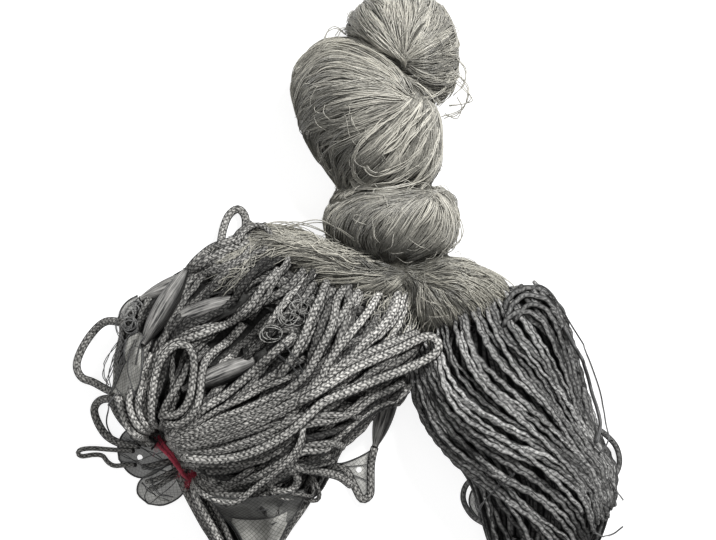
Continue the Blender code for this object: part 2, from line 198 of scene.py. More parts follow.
# Thin black threads of the net's edge that lie loose beside the hanks: radius, and x, y, height.
EDGE_THREADS = {
    "edge_thread_right": (0.8, (
        186, 2, 34, 192, 10, 22, 204, 5, 8, 216, -12, 2, 228, -32, 1, 243, -55, 1, 252, -76, 1,
        261, -105, 1, 264, -136, 2, 261, -148, 8, 253, -156, 20,
    )),
    "edge_thread_inner": (1.9, (
        218, -32, 20, 228, -50, 4, 235, -61, 2.4, 240, -72, 2, 244.5, -85, 2, 248, -100, 2, 252, -115, 2,
        254, -130, 8, 249, -146, 20,
    )),
    "edge_thread_left": (0.8, (
        -226, -98, 22, -234, -106, 8, -241, -118, 1.6, -243, -131, 1, -238, -143, 1.4, -228, -150, 8,
    )),
}
EDGE_ENDS = {
    "edge_end_upper": (0.8, (262, -182, 12, 267, -190, 5, 272, -197, 1, 278, -203, 1, 283, -209, 1)),
    "edge_end_lower": (0.8, (248, -236, 12, 254, -240, 4, 262, -244, 1, 272, -244, 1, 283, -236, 1)),
}
# Films of netting that stand out of the hanks: their finish, the bow of their rows, their two edges with
# heights from root to tip, and the middle and radius of a hole in them.
FILMS = {
    "film_upper": ("dark", 4, (
        (-180, -138, 34, -203, -132, 24, -222, -138, 10, -231, -152, 3, -230, -168, 2),
        (-172, -166, 34, -190, -179, 22, -206, -186, 10, -220, -181, 4, -230, -168, 2),
    ), (-208, -165, 3.0)),
    "film_lower": ("pale", 2, (
        (-174, -170, 26, -196, -180, 13, -209, -190, 7, -211, -203, 3, -200, -213, 2),
        (-160, -183, 26, -161, -196, 12, -170, -207, 7, -185, -214, 4, -200, -213, 2),
    ), None),
    "film_tail": ("pale", 0, (
        (-14, -172, 9, -2, -171, 8, 12, -166, 6.5, 27, -158, 6),
        (-14, -177, 9, -2, -184, 4, 10, -195, 4, 21, -207, 4),
    ), (14, -178, 2.8)),
    "film_foot": ("dark", 4, (
        (-134, -200, 26, -128, -213, 22, -118, -227, 18, -109, -241, 12, -102, -262, 6),
        (-40, -194, 24, -42, -206, 20, -51, -222, 16, -64, -240, 12, -80, -262, 6),
    ), None),
    "film_hem": ("pale", 8, (
        (-120, -222, 22, -110, -235, 18, -103, -248, 14, -97, -268, 9, -92, -289, 4),
        (-50, -212, 22, -57, -229, 18, -65, -246, 14, -77, -268, 9, -88, -289, 4),
    ), None),
    "film_left": ("pale", 0, (
        (-206, -36, 58, -221, -42, 44, -227, -54, 36, -226, -66, 36, -218, -78, 46),
        (-196, -40, 66, -202, -48, 64, -205, -56, 62, -208, -66, 58, -212, -78, 52),
    ), None),
    "film_lead": ("pale", 0, (
        (146, -182, 34, 136, -190, 20, 128, -200, 9, 126, -212, 8, 131, -222, 14, 142, -232, 26),
        (152, -184, 42, 149, -194, 34, 146, -204, 28, 145, -214, 28, 146, -224, 28, 150, -234, 30),
    ), None),
    "film_flank": ("pale", 0, (
        (-209, -50, 84, -220, -60, 72, -230, -72, 70, -236, -84, 66, -236, -96, 63),
        (-199, -52, 88, -199, -64, 92, -200, -78, 98, -204, -90, 92, -212, -102, 85),
    ), None),
    "film_curl": ("pale", 0, (
        (-210, -1, 20, -220, -6, 8, -228, -15, 4, -230, -27, 6, -226, -38, 20),
        (-204, -8, 40, -206, -14, 40, -210, -22, 40, -213, -30, 40, -216, -38, 44),
    ), None),
}
FILM_TONES = {"pale": ((0.5, 0.495, 0.46, 1), 0.9), "dark": ((0.19, 0.19, 0.18, 1), 0.92)}

# The films that lie on what is under them, and how far over it.
LAID_FILMS = {"film_foot": 0.001, "film_hem": 0.0036, "film_left": 0.0022, "film_flank": 0.0012}

# Where a hank is slimmer than its solid: the middle of the line where that starts, the way outwards in
# degrees, half of the line's length, how far the flank is drawn in, and the width over which that grows.
FLANKS = {
    "float": ((-200, -63, 180, 37, 11, 35), (2, -112, -53, 42, 11, 40)),
    "lead": ((200, -95, 0, 75, 8, 42),),
}

# Fine rings and loops of loose thread on the hanks: middle, two radii, turns and tone.
RINGS = (
    ((-72, -36), (10, 8), 1.2, 0.75), ((-54, -14), (9, 12), 1.1, 0.6), ((-46, -18), (7, 8), 0.8, 0.5),
    ((-44, -8), (10, 7), 0.9, 0.45), ((-58, -20), (12, 6), 0.7, 0.5), ((-216, -18), (8, 8), 1.5, 0.15),
    ((-217, -24), (7, 10), 1.4, 0.2), ((-214, -30), (8, 6), 1.5, 0.12), ((-212, -14), (8, 5), 1.3, 0.12),
)
# Thin dark threads that lie loose over the float line's hank and beside it.
LOOSE_LINES = (
    (-226, -44, -236, -60, -243, -72, -245, -82, -240, -92),
    (-222, -46, -230, -64, -234, -80, -232, -94),
    (-216, -44, -224, -60, -230, -72, -238, -86, -236, -94),
    (-210, -50, -218, -58, -226, -74, -228, -90, -222, -100),
    (-206, -44, -212, -60, -214, -78, -208, -96, -200, -112),
    (-222, -8, -229, -22, -228, -36, -220, -46),
    (-64, -40, -58, -50, -48, -62, -40, -74),
    (-66, -56, -58, -64, -50, -70, -44, -80),
    (-125, -222, -108, -229, -90, -233, -72, -229, -56, -220, -45, -206),
    (-128, -206, -110, -214, -92, -217, -74, -213, -58, -204),
    (-228, -146, -212, -152, -196, -158, -182, -166),
    (-229, -160, -212, -168, -196, -176, -180, -178),
    (-206, -190, -198, -200, -188, -208, -178, -210),
    (-196, -184, -192, -196, -184, -204, -174, -204),
    (168, -176, 150, -190, 138, -206, 134, -222, 142, -236),
)

# Half widths and half thicknesses of the lines, flattened a little as they lie.
FLOAT_LINE = (4.6, 3.7)
LEAD_LINE = (2.9, 2.7)
THIN_LINE = (2.4, 2.4)
LOOP_LINE = (4.1, 3.7)

# The loops that hang out of the hanks, by solid: half width and half thickness, and route with heights.
LOOPS = {
    "float_line_loop_back": (LOOP_LINE, (
        -128, 30, 56, -126, 44, 44, -125, 55, 28, -123, 68, 15, -118, 81, 7, -109, 87, 5.2, -102, 80, 7,
        -101, 68, 15, -104, 56, 28, -107, 44, 46, -110, 30, 58,
    )),
    "float_line_loop_left": (LOOP_LINE, (
        -212, -33, 42, -230, -27, 30, -244, -28, 16, -257, -39, 7, -268, -56, 5.2, -273, -72, 5.2,
        -268, -84, 6, -255, -89, 12, -240, -96, 24, -222, -102, 42,
    )),
    "float_line_loop_corner": (LOOP_LINE, (
        -214, -108, 42, -234, -105, 27, -248, -107, 13, -255, -116, 6, -252, -129, 5.2, -244, -142, 5.2,
        -234, -149, 6.5, -222, -152, 12, -208, -152, 20,
    )),
    "float_line_tail": (LOOP_LINE, (
        30, -155, 11, 28, -162, 9.5, 26.5, -171, 6, 26, -181, 5.2, 26, -193, 5.2, 25, -204, 5.2,
        17, -208, 5.2, 10, -196, 5.2, 0, -178, 5.6, -14, -174, 9, -32, -172, 18, -48, -168, 30,
    )),
    "float_line_loop_tip": (THIN_LINE, (
        -214, -158, 20, -228, -158, 10, -242, -157.5, 3.2, -256, -156.5, 3, -268, -157.5, 3, -272, -161, 3,
        -268, -164.5, 3, -256, -163, 3, -247, -164, 3, -242, -170, 3, -235, -174, 4, -224, -173, 11,
        -212, -172, 20,
    )),
    "lead_line_loop_right": (LEAD_LINE, (
        235, -122, 46, 250, -132, 32, 264, -142, 16, 275, -154, 6, 279, -168, 3.6, 276, -180, 6,
        265, -191, 20, 250, -200, 38,
    )),
    "lead_line_loop_left": (LEAD_LINE, (
        150, -172, 40, 134, -184, 22, 124, -192, 8, 120, -203, 3.6, 122, -214, 3.6, 131, -226, 12,
        148, -234, 34,
    )),
}

# The floats: headings and dips in degrees, size, and half of a float's profile, as shares of it.
FLOATS = {
    "float_1": (60, 6), "float_2": (19, -13), "float_3": (22.6, 0), "float_4": (21, -2), "float_5": (74, 0),
}
FLOAT_LENGTH = 88
FLOAT_RADIUS = 10.5
FLOAT_PROFILE = (
    (1.0, 0.24), (0.965, 0.33), (0.95, 0.33), (0.93, 0.29), (0.86, 0.4), (0.7, 0.62), (0.5, 0.82),
    (0.25, 0.96),
)
BAND_START = 0.478

# Middle lines of the hanks: x, y and height.
FLOAT_SPINE = (
    (66, -18, 24), (20, -34, 26), (-40, -62, 26), (-100, -95, 26), (-145, -130, 22), (-170, -158, 16),
)
FOOT_SPINE = ((-162, -172, 14), (-142, -198, 16), (-118, -232, 14), (-102, -262, 12), (-95, -288, 9))
LEAD_SPINE = (
    (130, -6, 22), (150, -55, 24), (174, -125, 26), (198, -185, 24), (208, -245, 20), (206, -292, 14),
)

# How the float line runs over its hank, from its far left round to its right, down to the tie.
FLOAT_GUIDES = (
    (-70, 72, -100, 60, -122, 46, -143, 31, -160, 18, -178, 4, -196, -14, -210, -34),
    (-72, 62, -108, 42, -140, 20, -168, -10, -186, -45, -200, -75, -203, -105, -192, -138),
    (-58, 52, -100, 20, -136, -8, -160, -28, -178, -52, -188, -80, -192, -105, -188, -138),
    (-42, 42, -86, -2, -126, -30, -152, -48, -160, -70, -166, -92, -176, -115, -182, -140),
    (-12, 34, -24, 2, -40, -30, -66, -53, -95, -79, -125, -106, -150, -128, -175, -148),
    (8, 28, -8, -14, -22, -49, -40, -78, -70, -105, -105, -125, -140, -140, -172, -152),
    (36, 20, 20, -20, -8, -54, -28, -88, -60, -112, -98, -132, -138, -148, -170, -156),
    (58, 18, 48, -14, 17, -49, -15, -83, -45, -110, -85, -142, -125, -156, -168, -160),
    (80, -6, 66, -46, 30, -78, -10, -105, -45, -130, -85, -152, -125, -164, -164, -165),
    (66, -72, 48, -98, 12, -130, -25, -151, -62, -165, -90, -179, -125, -184, -160, -172),
    (52, -100, 28, -128, -2, -156, -38, -176, -72, -190, -105, -197, -135, -195, -156, -178),
)
FOOT_RUNS = (
    (3.2, 0.72, (-166, -172, -158, -188, -148, -199, -142, -213, -134, -230, -126, -246, -106, -288)),
    (3.2, 0.82, (-160, -174, -152, -188, -142, -200, -136, -214, -128, -232, -120, -248, -102, -286)),
    (3.2, 0.62, (-154, -178, -145, -190, -135, -204, -128, -218, -120, -236, -112, -254, -98, -282)),
    (3.4, 0.5, (-150, -184, -140, -196, -130, -212, -122, -230, -114, -250, -100, -280)),
    (4.4, 0.5, (-172, -170, -164, -190, -152, -214, -138, -240, -122, -264, -104, -288)),
    (4.4, 0.3, (-164, -172, -154, -192, -142, -216, -130, -240, -114, -264, -100, -286)),
    (2.4, 0.6, (-62, -190, -60, -206, -66, -226, -76, -250, -84, -272, -92, -290)),
    (2.4, 0.35, (-66, -192, -66, -210, -72, -232, -80, -256, -90, -284)),
    (4.2, 0.62, (-160, -176, -150, -196, -140, -216, -128, -240, -114, -266, -102, -288)),
    (3.0, 0.72, (-36, -206, -44, -218, -54, -232, -64, -248, -76, -268, -88, -288)),
    (2.6, 0.4, (-42, -208, -50, -222, -60, -238, -70, -254, -82, -274, -90, -286)),
)
LEAD_RUNS = (
    (2.9, 0.3, (159, -15, 163, -4, 174, 4, 187, 7, 201, 3, 213, -9, 222, -25, 231, -45, 238, -66, 245, -92)),
    (2.9, 0.42, (160, -24, 168, -9, 181, -1, 196, -3, 208, -13, 218, -31, 227, -52, 235, -76, 243, -102)),
    (2.8, 0.36, (168, -26, 178, -13, 192, -10, 204, -20, 214, -38, 224, -62, 234, -90, 244, -118)),
    (2.9, 0.5, (156, -30, 166, -20, 180, -18, 194, -26, 206, -44, 218, -68, 230, -98, 242, -128)),
    (3.0, 0.26, (64, -24, 68, -42, 73, -60, 78, -82, 88, -104)),
    (3.0, 0.34, (70, -26, 75, -44, 79, -62, 86, -84, 98, -106)),
    (2.9, 0.62, (62, -64, 66, -86, 72, -108, 82, -131, 97, -152, 114, -170, 136, -187, 160, -203, 186, -222,
        206, -246, 218, -268)),
    (2.9, 0.5, (70, -66, 74, -88, 81, -111, 92, -134, 110, -153, 134, -170, 162, -185, 192, -202, 216, -226,
        232, -250)),
    (2.8, 0.44, (66, -76, 70, -100, 80, -124, 94, -146, 112, -164, 134, -180, 154, -198, 172, -222,
        186, -252, 196, -280)),
    (2.9, 0.74, (93, -62, 98, -88, 110, -110, 130, -128, 158, -144, 186, -162, 212, -186, 236, -216)),
    (2.9, 0.66, (112, -40, 122, -68, 140, -94, 164, -116, 190, -138, 216, -162, 240, -194)),
    (2.9, 0.7, (140, -14, 152, -44, 172, -76, 196, -104, 220, -134, 242, -168, 258, -204)),
)
LEAD_GUIDES = (
    (72, -62, 73, -96, 88, -138, 112, -166, 136, -186, 145, -212, 150, -244, 160, -290),
    (78, -40, 80, -92, 96, -128, 128, -160, 160, -188, 192, -212, 222, -236, 240, -262),
    (84, -30, 88, -76, 106, -112, 140, -138, 175, -155, 208, -172, 236, -196, 250, -235),
    (96, -20, 108, -64, 131, -92, 158, -115, 190, -136, 220, -160, 246, -190, 258, -228),
    (118, -2, 134, -46, 156, -78, 184, -104, 210, -130, 236, -160, 254, -190, 262, -224),
    (144, 0, 162, -42, 186, -68, 208, -94, 230, -120, 248, -148, 262, -178, 266, -212),
    (168, 7, 198, -26, 218, -58, 234, -92, 248, -124, 260, -154, 267, -184, 267, -216),
    (194, 12, 218, -18, 234, -50, 246, -84, 256, -118, 264, -148, 270, -180, 270, -210),
)

# Runs of float line that lie on top, in the order in which they were laid: half width, tone, route.
FLOAT_RUNS = (
    (4.6, 0.55, (14, 5, 7, -5, 0, -15, -12, -34, -26, -58)),
    (4.8, 0.62, (-15, 18, -20, 8, -25, -5, -33, -22, -37, -33, -43, -46, -52, -62, -66, -82)),
    (4.8, 0.6, (-49, -39, -66, -53, -95, -79, -118, -98, -140, -112, -160, -132, -176, -146)),
    (4.8, 0.58, (0, 8, -8, -5, -10, -20, -15, -36, -22, -49, -28, -61, -35, -73, -45, -84, -58, -95,
        -74, -108, -110, -122, -150, -140, -172, -150)),
    (4.6, 0.66, (53, 5, 49, -15, 37, -30, 17, -49, 0, -67, -15, -83, -38, -100, -70, -118, -110, -136,
        -150, -148, -172, -153)),
    (4.6, 0.7, (34, 3, 27, -10, 17, -24, 4, -39, -8, -54, -18, -69, -25, -84, -48, -104)),
    (4.8, 0.6, (58, -86, 42, -95, 25, -106, 12, -117, -10, -123, -35, -126, -70, -138, -110, -150,
        -150, -158, -172, -158)),
    (4.8, 0.72, (62, -94, 44, -109, 23, -123, 9, -135, -8, -149, -24, -152, -43, -154, -62, -165, -86, -179,
        -118, -188, -146, -182, -162, -170)),
    (4.6, 0.5, (48, -112, 30, -126, 14, -142, -2, -160, -20, -166, -50, -172, -80, -190)),
    (4.6, 0.66, (-42, -134, -43, -145, -51, -162, -65, -179, -79, -189, -99, -199, -128, -198, -148, -188,
        -160, -174)),
    (3.3, 0.62, (-54, -80, -78, -90, -102, -102, -124, -112, -152, -130, -177, -147)),
    (3.5, 0.74, (-46, -88, -70, -98, -96, -110, -120, -119, -150, -134, -176, -149)),
    (3.0, 0.56, (-42, -93, -66, -103, -94, -115, -120, -124, -149, -137, -175, -150)),
    (3.5, 0.7, (-38, -98, -62, -108, -92, -119, -120, -128, -148, -140, -174, -152)),
    (3.0, 0.5, (-44, -105, -68, -114, -94, -124, -120, -133, -147, -144, -173, -153)),
    (3.5, 0.64, (-50, -112, -72, -120, -96, -130, -120, -139, -146, -148, -172, -155)),
    (3.0, 0.46, (-60, -122, -84, -131, -108, -139, -134, -147, -170, -156)),
    (4.6, 0.68, (72, -38, 54, -44, 29, -54, 12, -62, 0, -68, -20, -84, -44, -100, -76, -116, -112, -132,
        -150, -146, -174, -152)),
    (4.8, 0.66, (-65, 25, -80, 8, -94, -12, -112, -26, -134, -35, -152, -42, -170, -48, -182, -58, -187, -78,
        -191, -103, -190, -125, -183, -143)),
    (4.8, 0.72, (-99, -27, -112, -42, -126, -54, -138, -68, -142, -86, -147, -104, -156, -120, -170, -138,
        -178, -150)),
    (6.0, 0.42, (-200, -46, -206, -60, -215, -74, -222, -86, -226, -98, -221, -112, -206, -128, -190, -142)),
    (4.6, 0.52, (-203, -54, -202, -70, -200, -86, -198, -108, -190, -135)),
    (3.6, 0.66, (-190, -58, -199, -76, -207, -94, -210, -110, -201, -127, -187, -143)),
    (3.4, 0.48, (-184, -62, -192, -82, -200, -102, -201, -120, -190, -138)),
    (3.6, 0.6, (-206, -70, -214, -88, -220, -104, -214, -120, -199, -136, -186, -146)),
    (4.2, 0.56, (-146, -185, -137, -194, -121, -193, -102, -184, -85, -179, -60, -172)),
    (3.4, 0.7, (-152, -185, -142, -199, -126, -205, -109, -205, -98, -200, -86, -190, -74, -180)),
    (4.4, 0.64, (-174, -153, -150, -153, -126, -152, -104, -146, -85, -139, -62, -128, -42, -116)),
    (3.4, 0.52, (-164, -157, -148, -162, -126, -163, -104, -160, -85, -156, -66, -148, -48, -138)),
    (4.0, 0.6, (-34, -121, -24, -118, -8, -118, 8, -120, 18, -126)),
    (4.0, 0.56, (-42, -148, -30, -147, -16, -148, -6, -151, 4, -158)),
    (3.6, 0.58, (-45, -130, -42, -144, -54, -162, -77, -178, -96, -186)),
    (4.6, 0.72, (-222, -102, -214, -112, -202, -124, -190, -140)),
    (4.2, 0.76, (-226, -100, -222, -114, -213, -127, -201, -140, -188, -152)),
    (3.8, 0.62, (-217, -94, -215, -110, -208, -124, -197, -138, -185, -148)),
    (3.2, 0.8, (-208, -100, -205, -116, -197, -130, -184, -144)),
    (3.6, 0.66, (-206, -138, -198, -144, -190, -150, -182, -157)),
    (4.2, 0.46, (-216, -42, -225, -64, -228, -88, -225, -110, -213, -130, -196, -146)),
    (4.2, 0.34, (-220, -48, -231, -72, -234, -96, -229, -117, -217, -136, -200, -150)),
    (4.0, 0.56, (-196, -40, -206, -56, -212, -78, -214, -98, -206, -120, -190, -140)),
    (3.6, 0.6, (-150, -186, -138, -192, -122, -190, -104, -180, -90, -170)),
    (2.6, 0.62, (-164, -174, -178, -180, -190, -186, -200, -189)),
    (2.6, 0.5, (-166, -180, -178, -186, -188, -193, -196, -197)),
    (3.0, 0.5, (-166, -166, -180, -168, -194, -172, -204, -174)),
    (4.6, 0.5, (-156, 25, -146, 36, -134, 46, -118, 52, -98, 58)),
    (4.4, 0.46, (-158, 18, -146, 28, -134, 37, -116, 45, -96, 52)),
    (4.4, 0.3, (84, -24, 76, -44, 64, -62, 44, -78, 20, -94)),
    (4.2, 0.4, (80, -38, 68, -54, 52, -66, 30, -78)),
    (4.6, 0.62, (-121, -123, -144, -132, -162, -140, -178, -149)),
    (4.6, 0.66, (-110, -152, -130, -154, -150, -155, -174, -154)),
    (4.8, 0.62, (-160, -172, -153, -186, -149, -204, -139, -228, -130, -244, -118, -266, -106, -286)),
    (3.6, 0.85, (-158, -172, -150, -184, -142, -192, -132, -200, -116, -205, -96, -203)),
    (4.6, 0.7, (-73, -186, -70, -175, -60, -170, -50, -175, -47, -184, -52, -193, -62, -196, -71, -192,
        -74, -182, -68, -172, -54, -166)),
    (4.6, 0.6, (-54, -166, -42, -172, -24, -176, -6, -182, 6, -192)),
    (2.3, 0.58, (-76, -182, -76, -192, -70, -199, -60, -203, -50, -203, -41, -205, -30, -207, -26, -203,
        -27, -194, -31, -184, -34, -178)),
    (2.2, 0.44, (-70, -186, -68, -193, -61, -197, -50, -198, -41, -200, -33, -201, -32, -192, -36, -182)),
)

# The runs that lie over the floats and the rest, last of all.
TOP_RUNS = (
    (3.0, 0.5, (-108, 50, -103, 59, -98, 65, -91, 69, -84, 69, -77, 65, -72, 58, -70, 50)),
    (4.0, 0.9, (-159, -176, -153, -189, -147, -204, -139, -219, -132, -233, -126, -246, -116, -263,
        -106, -282)),
    (3.4, 0.94, (-157, -180, -150, -190, -141, -198, -130, -203, -116, -206, -104, -203, -94, -195,
        -83, -186, -72, -178, -60, -167, -50, -155, -43, -142, -41, -130)),
    (3.8, 0.9, (-200, -90, -203, -104, -202, -117, -196, -129, -187, -140)),
    (4.0, 0.96, (-211, -92, -212, -106, -209, -119, -203, -130, -194, -139, -185, -147)),
    (4.4, 1.00, (-226, -97, -222, -107, -219, -118, -214, -129, -206, -138, -195, -146, -186, -151)),
    (4.0, 0.66, (-181, -120, -176, -108, -168, -95, -161, -83, -155, -71, -149, -59)),
    (4.4, 0.76, (-191, -124, -190, -108, -188, -91, -185, -76, -180, -63, -172, -53, -163, -48, -154, -50,
        -149, -59, -148, -71, -149, -84, -151, -97, -155, -107, -162, -115, -170, -118, -178, -117)),
    (4.2, 0.74, (-120, -49, -130, -56, -137, -65, -140, -78, -141, -91, -143, -103, -147, -113, -155, -122,
        -165, -127, -176, -126)),
    (5.0, 0.84, (-44, -104, -20, -90, 4, -75, 29, -63, 54, -53, 70, -45, 81, -41, 89, -43, 93, -49, 91, -56,
        84, -62, 72, -68, 54, -75, 29, -84, 4, -94, -20, -104, -36, -118, -54, -134, -79, -149, -106, -159,
        -135, -162, -160, -160)),
)

# Ways just outside the hanks, where turns lie round their sides.
FLOAT_SKIRT = (-216, -28, -230, -52, -240, -86, -236, -116, -218, -140, -192, -152)
LEAD_SKIRT = (150, 16, 180, 14, 206, 8, 228, -12, 242, -40, 256, -72, 264, -104)

# Painted shade and painted light on the skein's threads, in place of the light and shade on its folds and
# crowns: x, y, reach and how much.
SKEIN_PAINTED_LIGHT = (
    (27, 129, 17, -0.55), (-22, 150, 36, -0.24), (-34, 190, 30, -0.12), (50, 44, 30, -1.0),
    (96, 232, 15, -0.35), (64, 212, 9, -0.5), (20, 236, 22, 0.2), (20, 200, 26, 0.12), (80, 150, 34, -0.22),
    (92, 88, 24, 0.22), (24, 52, 24, -0.35), (60, 280, 26, 0.2), (66, 26, 14, -0.35), (62, -8, 22, -0.3),
    (48, 112, 20, -0.2), (48, 170, 13, -0.4), (0, 76, 20, -0.15),
)
# The same painted shade and painted light for the float line and for the lead line.
FLOAT_PAINTED_LIGHT = (
    (-46, -68, 13, -0.35), (40, -98, 18, -0.4), (8, -108, 12, -0.25), (-95, -168, 16, -0.25),
    (-68, -174, 12, -0.25), (-164, -70, 12, -0.5), (-190, -20, 20, -0.1), (-110, 36, 26, 0.16),
    (-208, -100, 28, 0.5), (-120, -196, 18, -0.2), (-70, -118, 34, -0.08), (30, -20, 34, 0.42),
    (-150, -206, 20, 0.15),
)
LEAD_PAINTED_LIGHT = (
    (105, -146, 9, -0.5), (122, -153, 9, -0.5), (140, -160, 9, -0.5), (221, -66, 22, -0.3),
    (160, -235, 13, -0.4), (238, -232, 14, -0.35), (176, -140, 34, 0.16), (100, -60, 22, 0.12),
    (88, -100, 10, -0.3),
)

# The tie: its middle, the way across the waist, and the waist's half width, height and base.
TIE_MIDDLE = (-172, -162)
TIE_ACROSS = (28, -34)
TIE_WAIST = (24, 32, 2.9)
TIE_ENDS = (
    (0, 0, 1, 4, -5, 2, 6, -11, -2, 10, -16, -6),
    (0, 0, 1, -3, -6, 2, -3, -12, -3, 1, -17, -8),
    (0, 0, 1, 4, 6, 2, 3, 11, 0),
)
# The dent in the float line's hank that stays empty, so that the core's painted shade shows dark there:
# middle, half length, half width, heading.
DARK_HOLLOW = ((-109, -42), 26, 16, 26)


# ---- shape helpers


def painted_light_at(places, painted_patches):
    """Painted shade and painted light: how much darker the strands are coloured in these folds and hollows,
    and how much lighter on these crowns.
    """
    places = np.asarray(places)
    total = np.zeros(places.shape[:-1])
    for x, y, reach, amount in painted_patches:
        gap = (places[..., 0] - x * MM) ** 2 + (places[..., 1] - y * MM) ** 2
        total += amount * np.exp(-gap / (reach * MM) ** 2)
    return total


def unit(rows):
    """The same directions with a length of one."""
    return rows / np.maximum(np.linalg.norm(rows, axis=-1, keepdims=True), 1e-12)


def metres(values):
    """Lengths given in millimetres."""
    return np.array(values) * MM


def points_of(route, size=2):
    """The places of a route, in millimetres, with so many numbers each."""
    return np.reshape(route, (-1, size)).astype(float)


TIE_WAY = unit(np.array(TIE_ACROSS, float))


def run_along(rows):
    """How far along the polyline each of its points is."""
    return np.concatenate([[0], np.cumsum(np.linalg.norm(np.diff(rows, axis=0), axis=1))])


def side_of(plan):
    """The way to the left of a line in plan."""
    return unit(np.stack([-np.gradient(plan[:, 1]), np.gradient(plan[:, 0])], axis=1))


def straight_down(skin, x, y):
    """The place and the normal of the skin as seen from above."""
    return skin.ray_cast(Vector((x, y, ABOVE)), Vector((0, 0, -1)))[:2]


def smooth_path(points, step):
    """Even points on a smooth curve through the given ones."""
    rows = np.asarray(points, float)
    ends = np.vstack([2 * rows[0] - rows[1], rows, 2 * rows[-1] - rows[-2]])
    t = np.linspace(0, 1, 16, endpoint=False)[:, None]
    fine = []
    for i in range(1, len(ends) - 2):
        a, b, c, d = ends[i - 1 : i + 3]
        square, cube = 2 * a - 5 * b + 4 * c - d, 3 * b - a - 3 * c + d
        fine.append(0.5 * (2 * b + (c - a) * t + square * t**2 + cube * t**3))
    fine = np.vstack([*fine, ends[-2:-1]])
    return even_points(fine, max(3, int(round(run_along(fine)[-1] / step)) + 1))


def share_of(count):
    """So many even shares from nothing to the whole."""
    return np.linspace(0, 1, count)


def even_points(rows, count):
    """The same polyline with so many points, evenly apart."""
    run = run_along(rows)
    stations = np.linspace(0, run[-1], count)
    return np.stack([np.interp(stations, run, rows[:, k]) for k in range(rows.shape[1])], axis=1)


def eased(values, passes):
    """The rows with each one moved towards the mean of its neighbours, several times over."""
    values = np.array(values, float)
    for _ in range(passes):
        values[1:-1] = 0.25 * values[:-2] + 0.5 * values[1:-1] + 0.25 * values[2:]
    return values


def wander(rng, count, waves, size):
    """A smooth random run of numbers along a strand."""
    s = share_of(count)
    total = np.zeros(count)
    for wave in range(1, waves + 1):
        total += rng.normal() * np.sin(math.pi * wave * s + rng.uniform(0, math.tau)) / wave**0.7
    return size * total


def skin_of(*nodes):
    """The faces of these solids, to find places on."""
    places, faces = [], []
    for node in nodes:
        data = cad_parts[node].data
        faces += [tuple(len(places) + i for i in face.vertices) for face in data.polygons]
        places += [v.co.copy() for v in data.vertices]
    return BVHTree.FromPolygons(places, faces)


class Strand:
    """One rope or thread: its middle line, which way its flat side faces, its half width, its half
    thickness and how light it is."""

    def __init__(self, path, up, half_width, half_height, tone, taper=False):
        self.path = np.asarray(path, float)
        self.up = np.broadcast_to(np.asarray(up, float), self.path.shape)
        self.half_width = half_width
        self.half_height = half_height
        self.tone = tone
        self.taper = taper


def strand_mesh(name, strands, sides, material):
    """One mesh of closed tubes. Its UV map runs along each tube in metres, and round it from 0 to 1."""
    points, faces, uvs, tones = [], [], [], []
    first = 0
    angles = np.linspace(0, math.tau, sides, endpoint=False)
    k = np.arange(sides)
    after = (k + 1) % sides
    around = (np.stack([k, k, k + 1, k + 1], axis=1) / sides)[None]
    for number, strand in enumerate(strands):
        path = strand.path
        n = len(path)
        heading = unit(np.gradient(path, axis=0))
        side = unit(np.cross(heading, strand.up))
        lift = np.cross(side, heading)
        wide = np.broadcast_to(strand.half_width, n).astype(float)
        high = np.broadcast_to(strand.half_height, n).astype(float)
        if strand.taper:
            thin = np.clip(np.minimum(np.arange(n), np.arange(n)[::-1]) / 2.0 + 0.25, 0, 1)
            wide, high = wide * thin, high * thin
        ring = (
            path[:, None]
            + side[:, None] * (np.cos(angles)[None, :, None] * wide[:, None, None])
            + lift[:, None] * (np.sin(angles)[None, :, None] * high[:, None, None])
        )
        points.append(ring.reshape(-1, 3))
        tones.append(np.repeat(np.broadcast_to(strand.tone, n), sides))
        rows = first + np.arange(n - 1)[:, None] * sides
        quads = np.stack([rows + k, rows + sides + k, rows + sides + after, rows + after], axis=-1)
        run = run_along(path) + UV_SHIFT * number
        along = np.stack([run[:-1], run[1:], run[1:], run[:-1]], axis=1)[:, None]
        uv = np.stack(np.broadcast_arrays(along, around), axis=-1)
        ends = [first + k, first + (n - 1) * sides + k[::-1]]
        faces += [*quads.reshape(-1, 4).tolist(), *(end.tolist() for end in ends)]
        uvs += [uv.reshape(-1, 2), np.tile([run[0], 0.0], (sides, 1)), np.tile([run[-1], 0.0], (sides, 1))]
        first += n * sides
    mesh = bpy.data.meshes.new(name)
    mesh.from_pydata(np.concatenate(points), [], faces)
    layer = mesh.uv_layers.new(name="UVMap")
    layer.uv.foreach_set("vector", np.concatenate(uvs).reshape(-1).astype(np.float32))
    tone = mesh.attributes.new("tone", "FLOAT", "POINT")
    tone.data.foreach_set("value", np.concatenate(tones).astype(np.float32))
    mesh.shade_smooth()
    mesh.validate()
    return placed(name, mesh, material)


def placed(name, mesh, material):
    """A new object at the origin with this mesh and this one material."""
    obj = bpy.data.objects.new(name, mesh)
    bpy.context.scene.collection.objects.link(obj)
    mesh.materials.clear()
    mesh.materials.append(material)
    return obj


def drawn_in(places, flanks):
    """Places on a hank's flanks, moved inwards, most at the middle of each flank."""
    moved = np.array(places)
    for x, y, angle, half, depth, width in flanks:
        out = np.array([math.cos(math.radians(angle)), math.sin(math.radians(angle))])
        away = places[..., :2] / MM - (x, y)
        beside, past = away @ (-out[1], out[0]) / half, away @ out / width
        reach = np.maximum(1 - beside**4, 0) * np.clip(past, 0, 1)
        moved[..., :2] -= reach[..., None] * out * depth * MM
    return moved


def choose(obj):
    """Makes this the only selected object and the active one."""
    bpy.ops.object.select_all(action="DESELECT")
    obj.select_set(True)
    bpy.context.view_layer.objects.active = obj


